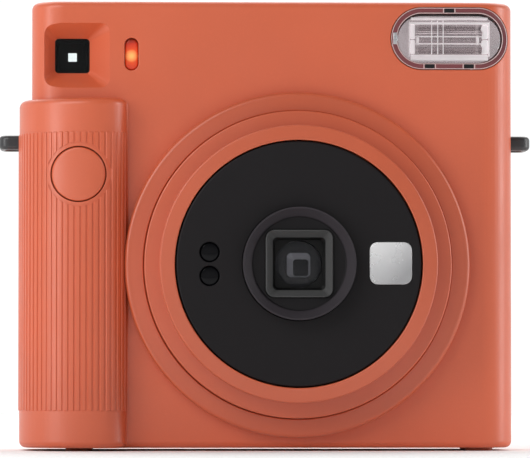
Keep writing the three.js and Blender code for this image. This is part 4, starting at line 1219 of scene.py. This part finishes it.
# ---- materials of the special pieces
def cell_wrap():
    """Printed foil round a cell: a dark body, a copper-coloured band at its top, and bare rims."""
    material, tree, output, place = new_material("battery_case")
    lower = Span("battery_lower")
    height = along(tree, place, "Z", lower.z0, lower.z0 + 2 * (lower.height + 0.2))
    both = node(tree, "Math", {0: height, 1: 2.0}, operation="MULTIPLY").outputs[0]
    each = node(tree, "Math", {0: both}, operation="FRACT").outputs[0]
    bare, dark, copper = (0.5, 0.5, 0.52), (0.018, 0.02, 0.024), (0.62, 0.27, 0.09)
    stops = (0.0, bare), (0.04, dark), (0.66, copper), (0.93, bare)
    bands = ramp(tree, each, *stops, interpolation="CONSTANT")
    scuff = remap(tree, noise(tree, place, 3, 4, (1, 1, 0.3)), 0, 0.2, 0.5, 0.75)
    gloss = remap(tree, noise(tree, place, 6, 3), 0.22, 0.36)
    normal = bumps(tree, (noise(tree, place, 1.5, 2), 0.004))
    tint = mixed(tree, scuff, bands, (0.3, 0.3, 0.3))
    inputs = {"Base Color": tint, "Roughness": gloss, "Metallic": 0.6, "Normal": normal}
    return shaded(material, tree, output, inputs)


def board_green():
    """Solder-masked board: green lacquer with paler tracks under it and bare pads."""
    material, tree, output, place = new_material("circuit_board")
    cells = {"feature": "DISTANCE_TO_EDGE", "distance": "CHEBYCHEV"}
    wander = node(tree, "TexVoronoi", {"Vector": place, "Scale": 1 / (3.2 * MM)}, **cells)
    track = remap(tree, wander.outputs["Distance"], 1, 0, 0.05, 0.09)
    tint = mixed(tree, track, (0.006, 0.06, 0.025), (0.02, 0.15, 0.06))
    dots = node(tree, "TexVoronoi", {"Vector": place, "Scale": 1 / (2.4 * MM)})
    pad = remap(tree, dots.outputs["Distance"], 1, 0, 0.16, 0.2)
    tint = mixed(tree, pad, tint, (0.62, 0.60, 0.55))
    normal = bumps(tree, (track, 0.03), (noise(tree, place, 0.8, 2), 0.004))
    gloss = remap(tree, noise(tree, place, 9, 3), 0.22, 0.34)
    return shaded(material, tree, output, {"Base Color": tint, "Roughness": gloss, "Normal": normal})


def lamp_amber():
    """The lamp's lens: deep red at its ends, with a warm glow from the diode behind it."""
    material, tree, output, place = new_material("amber_plastic")
    height = along(tree, place, "Z", LAMP.z0, LAMP.z1)
    dark, red = (0.10, 0.012, 0.008), (0.62, 0.035, 0.012)
    orange_red, yellow = (0.90, 0.10, 0.02), (0.95, 0.42, 0.10)
    wobble = remap(tree, noise(tree, place, 1.6, 2), -0.03, 0.03)
    height = node(tree, "Math", {0: height, 1: wobble}, operation="ADD").outputs[0]
    tint = ramp(tree, height, (0.0, red), (0.35, orange_red), (0.6, orange_red), (0.8, red), (1.0, dark))
    diode = Vector((LAMP.x, LAMP.y0 + 0.6, LAMP.z0 + 0.45 * LAMP.height)) * MM
    reach = node(tree, "VectorMath", {0: place, 1: diode}, operation="DISTANCE").outputs["Value"]
    spot = remap(tree, reach, 1, 0, 0.5 * MM, 1.9 * MM)
    tint = mixed(tree, spot, tint, yellow)
    glow = mixed(tree, spot, (0.10, 0.012, 0.004), (0.62, 0.36, 0.14))
    gloss = remap(tree, noise(tree, place, 2, 3), 0.08, 0.2)
    inputs = {"Base Color": tint, "Roughness": gloss, "Emission Color": glow, "Emission Strength": 0.5}
    inputs["Normal"] = bumps(tree, (noise(tree, place, 1.2, 1), 0.004))
    return shaded(material, tree, output, inputs)


def mirror_painted_reflection():
    """The mirror's silvering with fine dust on it; its colour falls from white at the top left corner to grey
    at the bottom right, a painted reflection.
    """
    material, tree, output, place = new_material("mirror")
    at = Span("selfie_mirror")
    across, up = along(tree, place, "X", at.x0, at.x1), along(tree, place, "Z", at.z1, at.z0)
    slant = node(tree, "Math", {0: across, 1: up}, operation="ADD").outputs[0]
    # painted reflection: white at the top left, grey at the bottom right
    stops = (0.0, (1.0, 1.0, 1.0)), (0.5, (0.72, 0.72, 0.73)), (1.0, (0.42, 0.42, 0.43))
    tint = ramp(tree, remap(tree, slant, 0, 1, 0.1, 1.6), *stops)
    specks = remap(tree, noise(tree, place, 0.35, 2), 0, 0.3, 0.68, 0.8)
    tint = mixed(tree, specks, tint, (0.5, 0.5, 0.5))
    gloss = remap(tree, noise(tree, place, 4, 3), 0.22, 0.3)
    normal = bumps(tree, (noise(tree, place, 9, 1), 0.004))
    inputs = {"Base Color": tint, "Roughness": gloss, "Metallic": 0.5, "Normal": normal}
    return shaded(material, tree, output, inputs)


# ---- assembly
def build_covers():
    piece(front_cover(), orange, "front_cover", smooth=30)
    piece(rear_cover(), orange, "rear_cover", smooth=30)
    piece(film_door(), orange, "film_door", "door")
    piece(door_latch(), orange, "door_latch", "latch")
    piece(battery_door(), orange, "battery_door", "battery_cover")
    piece(shutter_button(), orange, "shutter_button", "button")
    for name, side in (("strap_lug_left", -1), ("strap_lug_right", 1)):
        piece(strap_lug(name, side), lug_black, name)
    piece(film_slot_frame(), black, "film_slot_frame")
    for name in ("case_screw_1", "case_screw_2"):
        piece(case_screw(name), steel, name)


def build_lens():
    piece(lens_bezel(), bezel_orange_painted_shade, "lens_bezel")
    piece(lens_ring(), ring_orange_painted_shade, "lens_ring", "power_ring")
    piece(lens_faceplate(), disc_black, "lens_faceplate")
    for name in ("exposure_sensor_window", "flash_sensor_window"):
        piece(sensor_window(name), gloss_black, name)
    piece(selfie_mirror(), mirror_painted_reflection(), "selfie_mirror")
    piece(lens_barrel(), barrel_black_painted_shade, "lens_barrel", "barrel")
    piece(lens_hood(), hood_black_painted_shade, "lens_hood", "barrel")
    for name, bulge in (("front_lens", 0.9), ("rear_lens", 0.7)):
        piece(lens_element(name, bulge), glass, name, "barrel")
    # painted reflection: the pale grey of the baffle's walls stands in for a reflection on them; its front
    # plate is black
    baffle_grey_painted_reflection = moulded("baffle_grey_painted_reflection", (0.55, 0.55, 0.56), 0.3, painted_depth_shading=(-19.5, -19.3, 0.01))
    blade_black = moulded("blade_black", (0.02, 0.02, 0.021), 0.3)
    piece(aperture(), baffle_grey_painted_reflection, body="barrel")
    piece(shutter_blades(), blade_black)


def build_flash():
    # painted shade: a dark red for the orange housing seen through the flash cover's clear rim, its darkness
    # painted shade
    dark_red_painted_shade = moulded("dark_red_plastic", (0.17, 0.030, 0.036), 0.16, depth=0.001, scuffs=0.04, coat=0.4)
    silver = metal("reflector", (0.74, 0.69, 0.70), 0.2, (0.04, 1, 1), depth=0.004, stain=0.2)
    white_painted_glow = moulded("reflector_white_painted_glow", (0.93, 0.91, 0.92), 0.25, depth=0.002, shade=0.03)
    # painted light: a faint glow on this white, for the light that the reflector's sides throw on its bars;
    # the tube's end pieces are given it too
    painted_glow_inputs = white_painted_glow.node_tree.nodes["Principled BSDF"].inputs
    painted_glow_inputs["Emission Color"].default_value = (1, 0.97, 0.98, 1)
    painted_glow_inputs["Emission Strength"].default_value = 0.24
    # painted highlights: the pale colour of the beads along the flash ring's edges
    bead_painted_highlight = moulded("bead_painted_highlight", (0.62, 0.44, 0.43), 0.3, depth=0.001)
    tube_glass = clear("tube_glass", (0.97, 0.95, 0.955), 0.1, 0.08)
    piece(flash_ring(), dark_red_painted_shade, "flash_bezel")
    piece(flash_tabs(), black)
    piece(flash_highlight_beads(), bead_painted_highlight)
    piece(flash_contact(), steel)
    piece(flash_frame(), white_painted_glow)
    piece(flash_window(), clear_pane, "flash_window")
    piece(flash_reflector(), silver, "flash_reflector")
    piece(flash_tube(), tube_glass, "flash_tube")
    piece(flash_ends(), white_painted_glow)
    piece(lamp_window(), lamp_amber(), "lamp_window")


def build_finder():
    piece(viewfinder_window(), pane, "viewfinder_window")
    piece(viewfinder_tube(), inner_black, "viewfinder_tube")
    piece(eyepiece_frame(), lug_black, "eyepiece_frame")


def build_inside():
    for name in ("pack_spring_lower", "pack_spring_upper"):
        piece(pack_spring(name), bright_steel, name, "door")
    for name in ("door_hinge_pin", "battery_door_pin"):
        piece(pin(name), bright_steel, name)
    wrap = cell_wrap()
    for name in ("battery_lower", "battery_upper"):
        piece(cell(name), wrap, name)
    piece(contact_coil(), bright_steel, "battery_contact_bottom")
    piece(contact_plate(), bright_steel, "battery_contact_top")
    piece(battery_holder(), black, "battery_holder")
    spring = piece(shutter_spring(), bright_steel, "shutter_spring")
    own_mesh(spring)
    piece(shutter_switch(), black, "shutter_switch")
    piece(eject_motor(), steel, "eject_motor")
    piece(flash_capacitor(), gloss_black, "flash_capacitor")
    piece(circuit_board(), board_green(), "circuit_board")
    piece(board_parts(), black)
    piece(counter_dial(), black, "counter_dial", "counter")
    piece(dial_marks(), nylon, body="counter")


def dress_cad_nodes():
    """The CAD nodes whose shape is right get a material."""
    finishes = {"black_plastic": black, "steel": steel, "gear_plastic": nylon, "clear_plastic": pane}
    for name, slot in SLOTS.items():
        obj = frame["nodes"][name]
        if obj.hide_render or slot not in finishes:
            continue
        obj.data.materials.clear()
        obj.data.materials.append(finishes[slot])


# ---- camera, floor and light
def make_camera():
    data = bpy.data.cameras.new("camera")
    data.sensor_width, data.lens = 36, 293.3
    data.clip_end = 50
    obj = bpy.data.objects.new("camera", data)
    bpy.context.scene.collection.objects.link(obj)
    obj.location = (-0.040, -1.150, 0.017)
    aim = Vector((0.00003, 0, 0.05893)) - obj.location
    obj.rotation_mode = "QUATERNION"
    obj.rotation_quaternion = aim.to_track_quat("-Z", "Y")
    bpy.context.scene.camera = obj


def make_floor():
    ring = [(x, y, 0) for x, y in circle(0, 0, 1.6, 96)]
    mesh = bpy.data.meshes.new("floor")
    mesh.from_pydata(ring, [], [tuple(range(len(ring)))])
    floor = bpy.data.objects.new("floor", mesh)
    bpy.context.scene.collection.objects.link(floor)
    material, tree, output, place = new_material("pale_floor")
    tint = mixed(tree, remap(tree, noise(tree, place, 300, 3), 0, 1), (0.95, 0.95, 0.95), (0.97, 0.97, 0.97))
    shaded(material, tree, output, {"Base Color": tint, "Roughness": 0.8, "Specular IOR Level": 0.1})
    mesh.materials.append(material)


def area_light(name, location, target, width, height, radiance):
    data = bpy.data.lights.new(name, "AREA")
    data.shape, data.size, data.size_y = "RECTANGLE", width, height
    data.energy = radiance * math.pi * width * height
    obj = bpy.data.objects.new(name, data)
    bpy.context.scene.collection.objects.link(obj)
    obj.location = location
    obj.rotation_mode = "QUATERNION"
    obj.rotation_quaternion = (Vector(target) - Vector(location)).to_track_quat("-Z", "Y")
    obj.visible_camera = False


def make_light():
    middle = (0, 0, 0.06)
    area_light("left", (-1.05, -0.62, 0.35), middle, 0.35, 1.0, 4.5)
    area_light("right", (1.0, -0.1, 0.25), middle, 0.35, 0.9, 5.5)
    area_light("key", (-0.34, -0.50, 0.46), middle, 0.4, 0.4, 2.85)
    area_light("back", (0, 0.95, 1.0), (0, 0.9501, 0), 1.6, 1.5, 2.0)  # straight down on the floor behind
    world = bpy.data.worlds.new("studio")
    world.use_nodes = True
    tree = world.node_tree
    tree.nodes.clear()
    place = node(tree, "TexCoord").outputs["Generated"]
    axes = node(tree, "SeparateXYZ", {0: place}).outputs
    slant = node(tree, "VectorMath", {0: place, 1: (-0.6, 0, 0.8)}, operation="DOT_PRODUCT").outputs["Value"]
    low_band = remap(tree, axes["Z"], 0.40, 0.0, 0.08, 0.35)
    glow = remap(tree, slant, 0.02, 0.32, -0.8, 0.8)
    front = node(tree, "Math", {0: glow, 1: low_band}, operation="ADD").outputs[0]
    behind = remap(tree, axes["Z"], 1.06, 0.35, 0.35, 0.65)
    inputs = {"Value": axes["Y"], "From Min": -0.1, "From Max": 0.3, "To Min": front, "To Max": behind}
    strength = node(tree, "MapRange", inputs).outputs["Result"]
    background = node(tree, "Background", {"Color": (1, 1, 1, 1), "Strength": strength})
    output = node(tree, "OutputWorld")
    tree.links.new(background.outputs[0], output.inputs[0])
    bpy.context.scene.world = world
    bpy.context.scene.view_settings.view_transform = "Standard"


make_camera()
make_floor()
make_light()
build_covers()
build_lens()
build_flash()
build_finder()
build_inside()
dress_cad_nodes()
